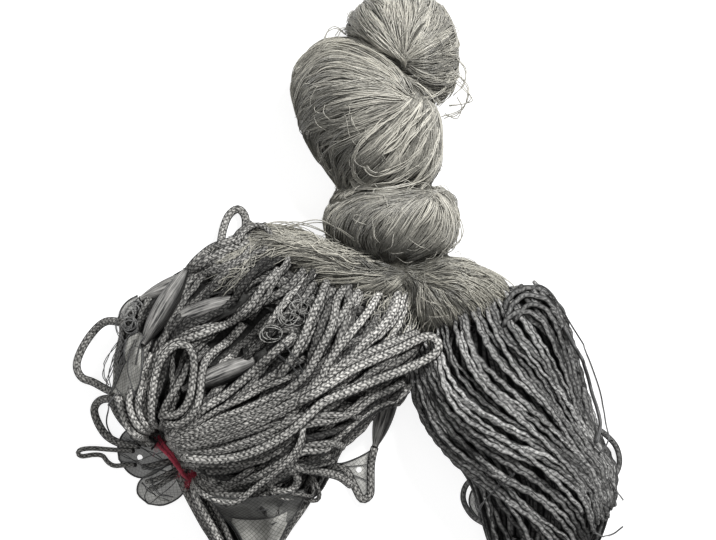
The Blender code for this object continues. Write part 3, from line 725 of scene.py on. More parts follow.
def kept(piece):
    """Makes the piece ride on the bundle. A hank's layers are first drawn in where its flanks are slimmer
    than the solid."""
    line, *_, layer = piece.name.split("_")
    if line in FLANKS and layer in ("core", "under", "turns", "runs"):
        vertices = piece.data.vertices
        places = drawn_in(np.array([v.co for v in vertices]), FLANKS[line])
        vertices.foreach_set("co", places.ravel())
    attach(piece, "root")


class Wrap:
    """A hank's skin, unrolled: places on it by the share along its spine and the share across it."""

    SPOKES = 72
    ARC = (-32, 212)
    MISSED = 0.004

    def __init__(self, skin, spine, reach, stations=48, columns=60):
        middles = smooth_path(metres(spine), 0.002)
        heading = unit(np.gradient(middles, axis=0) * (1, 1, 0))
        sides = unit(eased(np.cross(heading, UP), 12))
        picks = np.linspace(0, len(middles) - 1, stations).astype(int)
        rows = []
        for i in picks:
            ring = []
            for angle in np.radians(np.linspace(*self.ARC, self.SPOKES)):
                way = sides[i] * math.cos(angle) + UP * math.sin(angle)
                hit = skin.ray_cast(Vector(middles[i]), Vector(way), reach * MM)[0]
                ring.append(np.array(hit) if hit else middles[i] + way * self.MISSED)
            rows.append(even_points(np.array(ring), columns))
        grid = np.array(rows)
        for _ in range(2):
            grid = eased(grid, 1)
            grid = eased(grid.swapaxes(0, 1), 1).swapaxes(0, 1)
        self.grid = grid
        along, across = np.gradient(grid, axis=0), np.gradient(grid, axis=1)
        normals = unit(np.cross(along, across))
        outward = grid - middles[picks][:, None]
        self.normals = normals * np.sign((normals * outward).sum(axis=2).mean())

    def place(self, share, across):
        """Points on the skin and the way that leads straight off it."""
        row = np.clip(share, 0, 1) * (self.grid.shape[0] - 1.001)
        column = np.clip(across, 0, 1) * (self.grid.shape[1] - 1.001)
        i, j = row.astype(int), column.astype(int)
        a, b = (row - i)[:, None], (column - j)[:, None]
        spot, normal = (
            rows[i, j] * (1 - a) * (1 - b) + rows[i + 1, j] * a * (1 - b)
            + rows[i, j + 1] * (1 - a) * b + rows[i + 1, j + 1] * a * b
            for rows in (self.grid, self.normals)
        )
        return spot, unit(normal)

    def rope(self, rng, across, span, lift, size, half_width, half_height, tone):
        """A rope along the skin that strays a little from side to side and in and out."""
        count = 40
        share = np.linspace(*span, count)
        across = across + wander(rng, count, 4, size)
        places, normals = self.place(share, across)
        rise = lift + wander(rng, count, 4, 0.0011)
        path = places + normals * rise[:, None]
        path = smooth_path(eased(path, 2)[::2], 0.005)
        now = share_of(len(path))
        ups = unit(np.stack([np.interp(now, share_of(count), normals[:, k]) for k in range(3)], axis=1))
        path[:, 2] = np.maximum(path[:, 2], half_height)
        return Strand(path, ups, half_width, half_height, tone)


class Relief:
    """The height of all that has been laid so far, on a grid seen from above."""

    CELL = 0.0015
    SAMPLE = 2
    MARGIN = 0.02
    SUNK = 0.008  # how far under the solids the first ropes lie
    HEADROOM = 0.0045  # how far over them a rope may lie
    FLOAT_GAP = 0.004
    TIE_REACH = 0.055
    STEEPEST = 0.9
    DIVE = 0.016  # the last stretch of a rope, which goes in under the rest
    HELD_BESIDE, HELD_AWAY = 0.034, 0.009
    WAIST_REACH, WAIST_HEIGHT, WAIST_SUNK = 0.03, 0.0345, 0.0085
    # What lies under a rope: shares of its half width, and how much lower its round underside is there.
    UNDERSIDE = ((0, 0), (0.45, 0.0006), (-0.45, 0.0006), (0.8, 0.0022), (-0.8, 0.0022))

    def __init__(self, skins):
        (x0, y0, _), (x1, y1, _) = CAD_BOX
        self.corner = np.array((x0 - self.MARGIN, y0 - self.MARGIN))
        self.shape = tuple(int((size + 2 * self.MARGIN) / self.CELL) + 1 for size in (x1 - x0, y1 - y0))
        self.solid = np.zeros(self.shape)
        for i in range(0, self.shape[0], self.SAMPLE):
            for j in range(0, self.shape[1], self.SAMPLE):
                x, y = self.corner + np.array((i, j)) * self.CELL
                hits = [straight_down(skin, x, y)[0] for skin in skins]
                top = max([hit.z for hit in hits if hit], default=0.0)
                self.solid[i : i + self.SAMPLE, j : j + self.SAMPLE] = top
        self.height = np.maximum(self.solid - self.SUNK, 0)
        self.ceiling = self.solid + self.HEADROOM
        self.held = np.zeros(self.shape, bool)

    def press_at_tie(self):
        """Holds what is laid down close to the waist under the tie."""
        i, j = np.indices(self.shape)
        x, y = (self.corner[k] + grid * self.CELL - TIE_MIDDLE[k] * MM for k, grid in enumerate((i, j)))
        away = np.abs(y * TIE_WAY[0] - x * TIE_WAY[1])
        beside = np.abs(x * TIE_WAY[0] + y * TIE_WAY[1])
        near = (beside < self.HELD_BESIDE) & (away < self.HELD_AWAY)
        self.held |= near
        rounded = np.sqrt(np.clip(1 - (beside / self.WAIST_REACH) ** 2, 0.05, 1))
        hold = self.WAIST_HEIGHT * rounded - self.WAIST_SUNK
        self.ceiling[near] = np.minimum(self.ceiling, hold)[near]

    def stand_on(self, names):
        """Lets the ropes that are laid from now on lie over these solids."""
        skin = skin_of(*names)
        low, high = (np.array(c) for c in np.transpose([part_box(name) for name in names], (1, 0, 2)))
        (i0, i1), (j0, j1) = np.transpose(
            [self.cells(low[:, :2].min(axis=0)), self.cells(high[:, :2].max(axis=0))]
        )
        for i in range(i0, i1 + 1):
            for j in range(j0, j1 + 1):
                x, y = self.corner + np.array((i, j)) * self.CELL
                hit = straight_down(skin, x, y)[0]
                self.height[i, j] = max(self.height[i, j], hit.z if hit else 0)

    def cells(self, places):
        """The cells of the grid that these places are in."""
        index = np.rint((places[..., :2] - self.corner) / self.CELL).astype(int)
        return tuple(np.clip(index[..., k], 0, self.shape[k] - 1) for k in (0, 1))

    def under(self, plan, half_width):
        """The height that a rope on this line in plan would rest on."""
        side = side_of(plan)
        found = np.full(len(plan), -1.0)
        for share, drop in self.UNDERSIDE:
            found = np.maximum(found, self.height[self.cells(plan + side * half_width * share)] - drop)
        return found

    def add(self, strand):
        """Takes in a rope that was laid."""
        fine = smooth_path(strand.path, self.CELL)
        side = side_of(fine)
        wide, high = np.max(strand.half_width), np.max(strand.half_height)
        for share in np.linspace(-1, 1, max(3, int(2 * wide / self.CELL) + 1)):
            places = fine[:, :2] + side * wide * share
            top = fine[:, 2] + high * math.sqrt(max(0.0, 1 - share * share))
            np.maximum.at(self.height, self.cells(places), top)

    def lay(self, plan, half_width, half_height, tone, step, stiffness=10, ends=0.003, over=0.0):
        """Drops a rope on its line in plan. It rests on what is there, bridges small gaps, and its ends
        go in under the rest."""
        plan = smooth_path(plan, step)
        ground = self.under(plan, np.max(half_width))
        line = ground.copy()
        for _ in range(stiffness):
            line = np.maximum(ground, eased(line, 2))
        cells = self.cells(plan)
        line = np.minimum(line, self.ceiling[cells] + np.where(self.held[cells], 0, over))
        gap = np.linalg.norm(plan - metres(TIE_MIDDLE), axis=1)
        drop = np.where(gap < self.TIE_REACH, 1.0, self.STEEPEST * step)
        for i in range(1, len(line)):
            line[i] = max(line[i], line[i - 1] - drop[i])
        for i in range(len(line) - 2, -1, -1):
            line[i] = max(line[i], line[i + 1] - drop[i])
        line = eased(line, 2)
        away = np.minimum(np.arange(len(plan)), np.arange(len(plan))[::-1]) * step
        dive = ends * np.clip(1 - away / self.DIVE, 0, 1) ** 1.5
        z = np.clip(line + np.min(half_height) * 0.92 - dive, half_height, HIGHEST - half_height)
        strand = Strand(np.column_stack([plan, z]), UP, half_width, half_height, tone)
        self.add(strand)
        return strand


def between(guides, share):
    """The line that lies this share of the way across the row of guide lines."""
    place = share * (len(guides) - 1)
    first = min(int(place), len(guides) - 2)
    part = place - first
    low, high = (even_points(smooth_path(points_of(g), 6), 24) for g in guides[first : first + 2])
    return (low * (1 - part) + high * part) * MM


def strayed(rng, plan, size, crimp=0.0):
    """The plan line with a soft sideways stray, and with the short waves of a line that was kinked."""
    stray = wander(rng, len(plan), 5, size)
    turn = math.tau * run_along(plan) / KINK_LENGTH + wander(rng, len(plan), 6, 1.6)
    return plan + side_of(plan) * (stray + crimp * np.sin(turn))[:, None]


def to_tie(route):
    """The route, drawn on under the tie where it ends beside it."""
    route = points_of(route)
    away = np.array((-TIE_WAY[1], TIE_WAY[0]))
    gap = route[-1] - TIE_MIDDLE
    beside, off = gap.dot(TIE_WAY), gap.dot(away)
    if not 0 < off < 24 or abs(beside) > 30:
        return route
    under = np.array(TIE_MIDDLE) + TIE_WAY * np.clip(0.8 * beside, -17, 17)
    return np.vstack([route, under + 0.3 * off * away, under])


def in_hollow(plan):
    """Which points of a plan line are over the hank's dark hollow."""
    middle, half_length, half_width, heading = DARK_HOLLOW
    gap = plan[:, :2] - metres(middle)
    turn = math.radians(heading)
    along = gap[:, 0] * math.cos(turn) + gap[:, 1] * math.sin(turn)
    across = gap[:, 1] * math.cos(turn) - gap[:, 0] * math.sin(turn)
    return (along / (half_length * MM)) ** 2 + (across / (half_width * MM)) ** 2 < 1


def pieces_of(keep):
    """The runs of a row of flags, as first and last places."""
    edges = np.flatnonzero(np.diff(np.concatenate([[False], keep, [False]]).astype(int)))
    return list(zip(edges[::2], edges[1::2]))


# ---- netting threads


class Flow:
    """The way that threads run on the netting, from guide lines seen from above."""

    def __init__(self, groups):
        places, ways, group_of = [], [], []
        for number, guides in enumerate(groups):
            for guide in guides:
                path = smooth_path(points_of(guide) * MM, FLOW_STEP)
                places.append(path)
                ways.append(unit(np.gradient(path, axis=0)))
                group_of.append(np.full(len(path), number))
        self.places, self.ways = np.vstack(places), np.vstack(ways)
        self.group_of = np.concatenate(group_of)

    def group(self, place):
        """The group of guide lines that is nearest."""
        gaps = ((self.places - place[:2]) ** 2).sum(axis=1)
        return self.group_of[gaps.argmin()]

    def way(self, place, group):
        """The way that threads of this group run here."""
        mine = self.group_of == group
        gaps = ((self.places[mine] - place[:2]) ** 2).sum(axis=1)
        weight = 1 / (gaps + 1e-5) ** 2
        return unit((self.ways[mine] * weight[:, None]).sum(axis=0))


def flow_line(skin, flow, seed, group, turn, reach):
    """A line on the skin through the seed, along the flow both ways, and the skin's normals on it."""
    halves = []
    for sense in (1, -1):
        place, normal, _, _ = skin.find_nearest(Vector(seed))
        line = [(np.array(place), np.array(normal))]
        length, heading_before = 0.0, None
        while length < reach[0 if sense > 0 else 1]:
            here, up = line[-1]
            x, y = flow.way(here, group)
            cos, sin = math.cos(turn), math.sin(turn)
            way = np.array((x * cos - y * sin, x * sin + y * cos, -0.35 * sense)) * (sense, sense, 1)
            way = way - up * way.dot(up)
            way = way / max(np.linalg.norm(way), 1e-9)
            if heading_before is not None:
                if way.dot(heading_before) < -0.2:
                    break
                way = unit(0.55 * way + 0.45 * heading_before)
            heading_before = way
            place, normal, _, _ = skin.find_nearest(Vector(here + way * FLOW_STEP))
            place, normal = np.array(place), np.array(normal)
            if place[2] < 0.0015 or normal[2] < -0.5 or flow.group(place) != group:
                break
            line.append((place, unit(0.5 * normal + 0.5 * up)))
            length += FLOW_STEP
        halves.append(line)
    line = halves[1][:0:-1] + halves[0]
    return np.array([p for p, _ in line]), np.array([n for _, n in line])


def surface_seeds(node, rng, count, keep):
    """Random places on a solid's faces, evenly spread, where keep(place, normal) allows."""
    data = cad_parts[node].data
    data.calc_loop_triangles()
    places = np.array([v.co for v in data.vertices])
    tris = np.array([t.vertices[:] for t in data.loop_triangles])
    a, b, c = places[tris[:, 0]], places[tris[:, 1]], places[tris[:, 2]]
    cross = np.cross(b - a, c - a)
    area = np.linalg.norm(cross, axis=1)
    normals = unit(cross)
    found = []
    while len(found) < count:
        picks = rng.choice(len(tris), size=4 * count, p=area / area.sum())
        u, v = rng.random((2, len(picks)))
        flip = u + v > 1
        u[flip], v[flip] = 1 - u[flip], 1 - v[flip]
        spots = a[picks] + (b - a)[picks] * u[:, None] + (c - a)[picks] * v[:, None]
        found += [s for s, n in zip(spots, normals[picks]) if keep(s, n)]
    return found[:count]


def thread_lock(rng, line, normals, threads, spread, lift, radius, tone, fray=1.0):
    """Threads that lie together along one line on the skin, and part and meet again."""
    found = []
    count = len(line)
    heading = unit(np.gradient(line, axis=0))
    across = unit(np.cross(heading, normals))
    s = share_of(count)
    gather = np.sin(math.pi * np.clip(s, 0.02, 0.98)) ** 0.35
    tuck = np.clip(np.minimum(s, 1 - s) * count / 3.0, 0, 1)
    for _ in range(threads):
        offset = rng.normal(0, spread) * gather + wander(rng, count, 4, spread * 0.3 * fray)
        offset = offset + rng.normal(0, 0.0005 * fray, count) * gather
        rise = lift + rng.normal(0, 0.0005) + wander(rng, count, 3, 0.0003 * fray)
        rise = rise * tuck - 0.0016 * (1 - tuck)
        path = eased(line + across * offset[:, None] + normals * rise[:, None], 1)
        path[:, 2] = np.maximum(path[:, 2], radius)
        found.append(Strand(path, normals, radius, radius, tone + rng.normal(0, 0.12), taper=True))
    return found


# ---- materials


def new_material(name, roughness, specular):
    """A material, its node tree and its shader."""
    material = bpy.data.materials.new(name)
    material.use_nodes = True
    tree = material.node_tree
    shader = tree.nodes["Principled BSDF"]
    shader.inputs["Roughness"].default_value = roughness
    shader.inputs["Specular IOR Level"].default_value = specular
    return material, tree, shader


def math_node(tree, operation, a, b=None):
    """What comes out of a sum on numbers and sockets."""
    node = tree.nodes.new("ShaderNodeMath")
    node.operation = operation
    for socket, value in zip(node.inputs, (a, b)):
        if value is None:
            continue
        if isinstance(value, (int, float)):
            socket.default_value = value
        else:
            tree.links.new(value, socket)
    return node.outputs[0]


def times(tree, a, b):
    """One value times another."""
    return math_node(tree, "MULTIPLY", a, b)


def plus(tree, a, b):
    """One value plus another."""
    return math_node(tree, "ADD", a, b)


def mixed(tree, share, first, second, blend="MIX"):
    """Two colours, mixed or multiplied."""
    node = tree.nodes.new("ShaderNodeMix")
    node.data_type = "RGBA"
    node.blend_type = blend
    for socket, value in ((node.inputs[0], share), (node.inputs[6], first), (node.inputs[7], second)):
        if isinstance(value, (int, float, tuple)):
            socket.default_value = value
        else:
            tree.links.new(value, socket)
    return node.outputs[2]


def ramp(tree, factor, *stops):
    """A value read off a row of stops."""
    node = tree.nodes.new("ShaderNodeValToRGB")
    while len(node.color_ramp.elements) < len(stops):
        node.color_ramp.elements.new(0.5)
    for element, (place, value) in zip(node.color_ramp.elements, stops):
        element.position = place
        element.color = value if isinstance(value, tuple) else (value, value, value, 1)
    tree.links.new(factor, node.inputs[0])
    return node.outputs[0]


def noise(tree, vector, scale, detail, roughness=0.5):
    """Noise of this scale, in metres, at these coordinates."""
    node = tree.nodes.new("ShaderNodeTexNoise")
    node.inputs["Scale"].default_value = scale
    node.inputs["Detail"].default_value = detail
    node.inputs["Roughness"].default_value = roughness
    tree.links.new(vector, node.inputs["Vector"])
    return node.outputs["Fac"]


def coordinates(tree):
    """The object coordinates, and the UV map's run along and share round the strand."""
    node = tree.nodes.new("ShaderNodeTexCoord")
    uv = tree.nodes.new("ShaderNodeUVMap")
    uv.uv_map = "UVMap"
    split = tree.nodes.new("ShaderNodeSeparateXYZ")
    tree.links.new(uv.outputs[0], split.inputs[0])
    return node.outputs["Object"], split.outputs[0], split.outputs[1]


def tone_of(tree):
    """How light the strand is."""
    node = tree.nodes.new("ShaderNodeAttribute")
    node.attribute_name = "tone"
    return node.outputs["Fac"]


def set_bump(tree, shader, height, strength, distance):
    """Lets the shader's surface rise and fall."""
    node = tree.nodes.new("ShaderNodeBump")
    node.inputs["Strength"].default_value = strength
    node.inputs["Distance"].default_value = distance
    tree.links.new(height, node.inputs["Height"])
    tree.links.new(node.outputs[0], shader.inputs["Normal"])


def centred(tree, value, size):
    """A noise's swing either side of nothing, this many times over."""
    return times(tree, math_node(tree, "SUBTRACT", value, 0.5), size)


def along_fibres(tree, along, round_, lengthways, crossways):
    """A noise drawn out along the strand."""
    joined = tree.nodes.new("ShaderNodeCombineXYZ")
    tree.links.new(times(tree, along, lengthways), joined.inputs[0])
    tree.links.new(times(tree, round_, crossways), joined.inputs[1])
    return noise(tree, joined.outputs[0], 1.0, 2, 0.6)


def braid_material(name, light, dark, rows, stitch_depth, seam, side_dark, side_light):
    """A plaited line: staggered rows of slanting stitches, fibres along it, dirt in its seams, and painted
    shade at its sides, where each rope would lie in its neighbours' shadow."""
    material, tree, shader = new_material(name, 0.7, 0.3)
    place, along, round_ = coordinates(tree)
    run = plus(tree, along, centred(tree, noise(tree, place, 170, 2), 0.008))
    row_angle = times(tree, round_, math.pi * rows)
    slant = times(tree, math_node(tree, "SINE", row_angle), 0.8)
    turn = plus(tree, times(tree, run, math.tau / STITCH_PITCH), slant)
    lengthways = math_node(tree, "COSINE", turn)
    crossways = math_node(tree, "COSINE", row_angle)
    stitch = times(tree, times(tree, lengthways, crossways), stitch_depth)
    fibre = centred(tree, along_fibres(tree, along, round_, 150, 26), 1.2)
    fleck = centred(tree, noise(tree, place, 380, 2, 0.6), 0.6)
    plait = plus(tree, plus(tree, stitch, 0.5), plus(tree, fibre, fleck))
    rows_apart = ramp(tree, math_node(tree, "ABSOLUTE", crossways), (0.0, seam), (0.42, 1.0))
    crowns = ramp(tree, plait, (0.2, 0.0), (0.46, 0.55), (0.8, 1.0))
    stitches = times(tree, crowns, rows_apart)
    lit = mixed(tree, stitches, dark, light)
    # Painted shade at the rope's sides, darkest where it turns down out of sight; its top stays light.
    side = math_node(tree, "ABSOLUTE", math_node(tree, "SINE", times(tree, round_, math.tau)))
    side_shaded = mixed(tree, 1.0, lit, ramp(tree, side, (side_dark, 0.06), (side_light, 1.0)), "MULTIPLY")
    share = plus(tree, tone_of(tree), centred(tree, noise(tree, place, 16, 2), 0.9))
    toned = mixed(tree, 1.0, side_shaded, ramp(tree, share, (0.0, 0.07), (0.5, 0.45), (1.0, 1.0)), "MULTIPLY")
    tree.links.new(toned, shader.inputs["Base Color"])
    set_bump(tree, shader, stitches, 0.9, 0.0011)
    return material


def thread_material(name, light, dark, roughness=0.42):
    """Fine twisted twine, lighter and darker from thread to thread and along each."""
    material, tree, shader = new_material(name, roughness, 0.5)
    place, along, round_ = coordinates(tree)
    patch = centred(tree, noise(tree, place, 28, 3), 0.6)
    fleck = centred(tree, noise(tree, place, 700, 1), 0.5)
    broken = centred(tree, along_fibres(tree, along, round_, 260, 1), 0.9)
    share = plus(tree, plus(tree, tone_of(tree), patch), plus(tree, fleck, broken))
    coloured = mixed(tree, ramp(tree, share, (0.05, 0.0), (0.95, 1.0)), dark, light)
    tree.links.new(coloured, shader.inputs["Base Color"])
    shader.inputs["Sheen Weight"].default_value = 0.15
    return material


def shade_core_material(name, colour):
    """The dull, grainy dark between the strands: painted shade for the gaps between them, which lie in
    shadow.
    """
    material, tree, shader = new_material(name, 0.9, 0.1)
    place = tree.nodes.new("ShaderNodeTexCoord").outputs["Object"]
    grain = noise(tree, place, 260, 4, 0.7)
    low = tuple(0.35 * c for c in colour[:3]) + (1,)
    coloured = mixed(tree, ramp(tree, grain, (0.3, 0.0), (0.7, 1.0)), low, colour)
    tree.links.new(coloured, shader.inputs["Base Color"])
    set_bump(tree, shader, grain, 0.8, 0.0015)
    return material


# ---- pieces


def core_of(node, name, shrink, material, slack=None, gone=None):
    """The solid's own shape, drawn in a little, dark with painted shade between the strands that cover it.
    Where slack says so, it is drawn in to less than half of its thickness, and what is gone is left out."""
    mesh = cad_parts[node].data.copy()
    mesh.name = name
    obj = placed(name, mesh, material)
    choose(obj)
    bpy.ops.object.mode_set(mode="EDIT")
    bpy.ops.mesh.select_all(action="SELECT")
    bpy.ops.mesh.remove_doubles(threshold=0.00005)
    bpy.ops.object.mode_set(mode="OBJECT")
    bpy.ops.mesh.customdata_custom_splitnormals_clear()
    skin = BVHTree.FromPolygons([v.co for v in mesh.vertices], [f.vertices[:] for f in mesh.polygons])
    moved = []
    for vertex in mesh.vertices:
        inward = -vertex.normal
        hit = skin.ray_cast(vertex.co + inward * 0.0002, inward)[3]
        loose = slack is not None and slack(vertex.co)
        depth, part = (0.018, 0.45) if loose else (shrink, 0.3)
        place = vertex.co + inward * min(depth, part * (hit or 0.0))
        moved.append((place.x, place.y, max(place.z, 0.0) * (0.5 if loose else 1.0)))
    for vertex, place in zip(mesh.vertices, moved):
        vertex.co = place
    if gone:
        shape = bmesh.new()
        shape.from_mesh(mesh)
        bmesh.ops.delete(shape, geom=[v for v in shape.verts if gone(v.co)], context="VERTS")
        shape.to_mesh(mesh)
        shape.free()
    mesh.shade_smooth()
    return obj


class Works:
    """What the operators share while the bundle is dressed."""

    relief = None
    finishes = {}


def draped_lock(rng, skin, route, threads, spread, tone):
    """A lock of thread on its line in plan, dropped on the skin."""
    line, normals = [], []
    for x, y in smooth_path(points_of(route) * MM, 0.0045):
        place, normal = straight_down(skin, x, y)
        if place:
            line.append(place)
            normals.append(normal)
    line, normals = np.array(line), unit(eased(normals, 2))
    return thread_lock(rng, eased(line, 2), normals, threads, spread * MM, 0.0034, 0.0006, tone, fray=2.2)


def build_netting(settings):
    """The skein: its dark inside, its threads and locks, what lies over the hanks, strays and curls."""
    rng = np.random.default_rng(11)
    skin = skin_of("netting")
    flow = Flow((BULB_GUIDES, KNOB_GUIDES, BALL_GUIDES, LEFT_FAN_GUIDES, RIGHT_FAN_GUIDES))
    light, dark = tuple(settings.netting_light), tuple(settings.netting_dark)
    thread = thread_material("netting_thread", light, dark)
    tan = thread_material("netting_tan_thread", tuple(settings.fan_light), tuple(settings.fan_dark))
    # The netting's core, a little darker than its dark threads, is painted shade in the gaps between them.
    inside = shade_core_material("netting_core", tuple(0.95 * c for c in dark[:3]) + (1,))
    core = core_of("netting", "netting_core", 0.0024, inside)
    kept(core)
    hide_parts("netting")
    thread_shares, lock_shares, reach, fray = zip(*SKEIN_PARTS.values())
    under = [settings.threads_under * share for share in thread_shares]
    over = [settings.locks_over * share for share in lock_shares]
    strands = [[] for _ in SKEIN_PARTS]
    counts = [0] * len(SKEIN_PARTS)
    for seed in surface_seeds("netting", rng, 6000, lambda p, n: p[2] > 0.004 and n[2] > -0.35):
        group = int(flow.group(seed))
        top = counts[group] >= under[group]
        if counts[group] >= under[group] + over[group]:
            continue
        length = reach[group] * rng.uniform(0.45, 1.0)
        share = rng.uniform(0.2, 0.8)
        turn = rng.normal(0, 0.07 if not top else 0.13)
        line, normals = flow_line(skin, flow, seed, group, turn, (length * share, length * (1 - share)))
        if len(line) < 5:
            continue
        counts[group] += 1
        # The skein's painted shade and painted light are added to the thread's tone here.
        shade = painted_light_at(line[len(line) // 2], SKEIN_PAINTED_LIGHT)
        if top:
            tone = np.clip(rng.normal(0.5, 0.17) + shade, 0.0, 1.1)
            strands[group] += thread_lock(
                rng, line, normals, settings.threads_per_lock, 0.0016, rng.uniform(0.0008, 0.003),
                rng.uniform(0.00032, 0.00048), tone, fray[group],
            )
        else:
            tone = np.clip(rng.normal(0.3, 0.15) + shade, 0.0, 1.0)
            strands[group] += thread_lock(rng, line, normals, 1, 0.0005, 0.0, 0.0006, tone, fray[group])
    ground = relief()
    for guides, count, tone, size in FAN_OVERLAYS:
        for share in rng.random(count):
            plan = even_points(between(guides, share), 30)
            first, last = int(rng.uniform(0, 12)), int(rng.uniform(16, 30))
            plan = strayed(rng, plan[first:last], 0.0035)
            lightness = np.clip(rng.normal(tone, 0.22), 0, 1)
            strands[3].append(ground.lay(plan, size, size, lightness, 0.005, 4, ends=0.002, over=0.004))
    for route, threads, spread, tone in SKEIN_LOCKS:
        strands[0] += draped_lock(rng, skin, route, threads, spread, tone)
    for group, name in enumerate(SKEIN_PARTS):
        piece = strand_mesh(f"netting_{name}", strands[group], 3, tan if "fan" in name else thread)
        kept(piece)
    strays = []
    for route in STRAYS:
        places = points_of(route) * MM
        for _ in range(2):
            plan = smooth_path(places + rng.normal(0, 0.0012, places.shape), 0.0035)
            height = stray_height(skin, plan)
            strays.append(Strand(np.column_stack([plan, height]), UP + 0.01, 0.0005, 0.0005, 0.45))
    for seed in surface_seeds("netting", rng, 200, lambda p, n: p[2] > 0.02 and n[2] > 0.15):
        _, normal, _, _ = skin.find_nearest(Vector(seed))
        normal = np.array(normal)
        way = unit(np.cross(normal, rng.normal(size=3)))
        length, rise = rng.uniform(0.01, 0.03), rng.uniform(0.003, 0.009)
        t = np.linspace(0, 1, 8)[:, None]
        hair = seed + way * length * (t - 0.5) + normal * (rise * np.sin(math.pi * t) - 0.001)
        hair = hair + wander(rng, 8, 3, 0.0012)[:, None] * np.cross(normal, way)
        hair[:, 2] = np.maximum(hair[:, 2], 0.0006)
        strays.append(Strand(hair, normal, 0.00032, 0.00032, rng.uniform(0.2, 0.75), taper=True))
    kept(strand_mesh("netting_strays", strays, 4, thread))
    kept(build_rings(rng, ground))


def stray_height(skin, plan):
    """How high a stray thread lies: on the skein where it crosses it, and in a low arc beside it."""
    height = []
    for x, y in plan:
        place = straight_down(skin, x, y)[0]
        height.append(place.z + 0.0015 if place else np.nan)
    height = np.array(height)
    known = ~np.isnan(height)
    if not known.any():
        return np.full(len(plan), 0.012)
    where = np.arange(len(plan))
    return np.maximum(eased(np.interp(where, where[known], height[known]), 3), 0.001)


def relief():
    """The heights that the hanks' lines are laid on, made when the first of them is."""
    if Works.relief is None:
        skins = [skin_of(name) for name in ("float_line_hank", "lead_line_hank", "netting")]
        Works.relief = Relief(skins)
        for name in FLOATS:
            low, high = (np.array(c[:2]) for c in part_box(name))
            a, b = Works.relief.cells(np.array([low, high]))
            patch = (slice(a[0], a[1]), slice(b[0], b[1]))
            Works.relief.ceiling[patch] = Works.relief.solid[patch] - Relief.FLOAT_GAP
        Works.relief.press_at_tie()
    return Works.relief


def lay_set(rng, ground, guides, painted_patches, count, size, tone, stray, step, gather, late, crimp):
    """Ropes that follow the row of guide lines, spread evenly over it and laid in a mixed order. They are
    pressed together towards the last part of the way."""
    found = []
    points = 90
    for share in rng.permutation(share_of(count)):
        plan = between(guides, np.clip(share + rng.normal(0, 0.018), 0, 1))
        start, stop = rng.uniform(0, late), rng.uniform(0.985, 1.0)
        plan = even_points(plan, points)[int(points * start) : int(points * stop)]
        plan = strayed(rng, plan, stray, crimp)
        wide = size[0] * MM * rng.uniform(0.66, 1.12)
        high = size[1] * MM * rng.uniform(0.85, 1.05)
        lightness = np.clip(rng.normal(tone, 0.2), 0.02, 1)
        fit = 1 - gather * np.clip((share_of(points) - 0.68) / 0.32, 0, 1) ** 1.3
        for first, last in pieces_of(~in_hollow(plan)):
            if last - first < 14:
                continue
            strand = ground.lay(plan[first:last], wide, high, lightness, step)
            shrink = np.interp(np.linspace(first, last, len(strand.path)), np.arange(points), fit)
            strand.half_width = wide * shrink
            strand.half_height = high * (0.4 + 0.6 * shrink)
            # Painted shade and painted light from the patches are added to the rope's tone along it.
            strand.tone = np.clip(lightness + painted_light_at(strand.path, painted_patches), 0.02, 1)
            found.append(strand)
    return found


def lay_cord(name, path, half_width, half_height, tone, sides, finish):
    """A cord of its own along this path."""
    cord = strand_mesh(name, [Strand(path, UP, half_width * MM, half_height * MM, tone)], sides, finish)
    kept(cord)
    return cord


def build_loops():
    """The free loops of the float line and of the lead line, each a cord of its own."""
    for name, ((half_width, half_height), route) in LOOPS.items():
        path = smooth_path(points_of(route, 3) * MM, 0.003 if half_width > 4 else 0.0024)
        slot, tone = ("lead_line", 0.5) if name.startswith("lead") else ("float_line", 0.58)
        finish = Works.finishes[slot]
        cord = lay_cord(name + "_cord", path, half_width, half_height, tone, 10, finish)
        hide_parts(name)


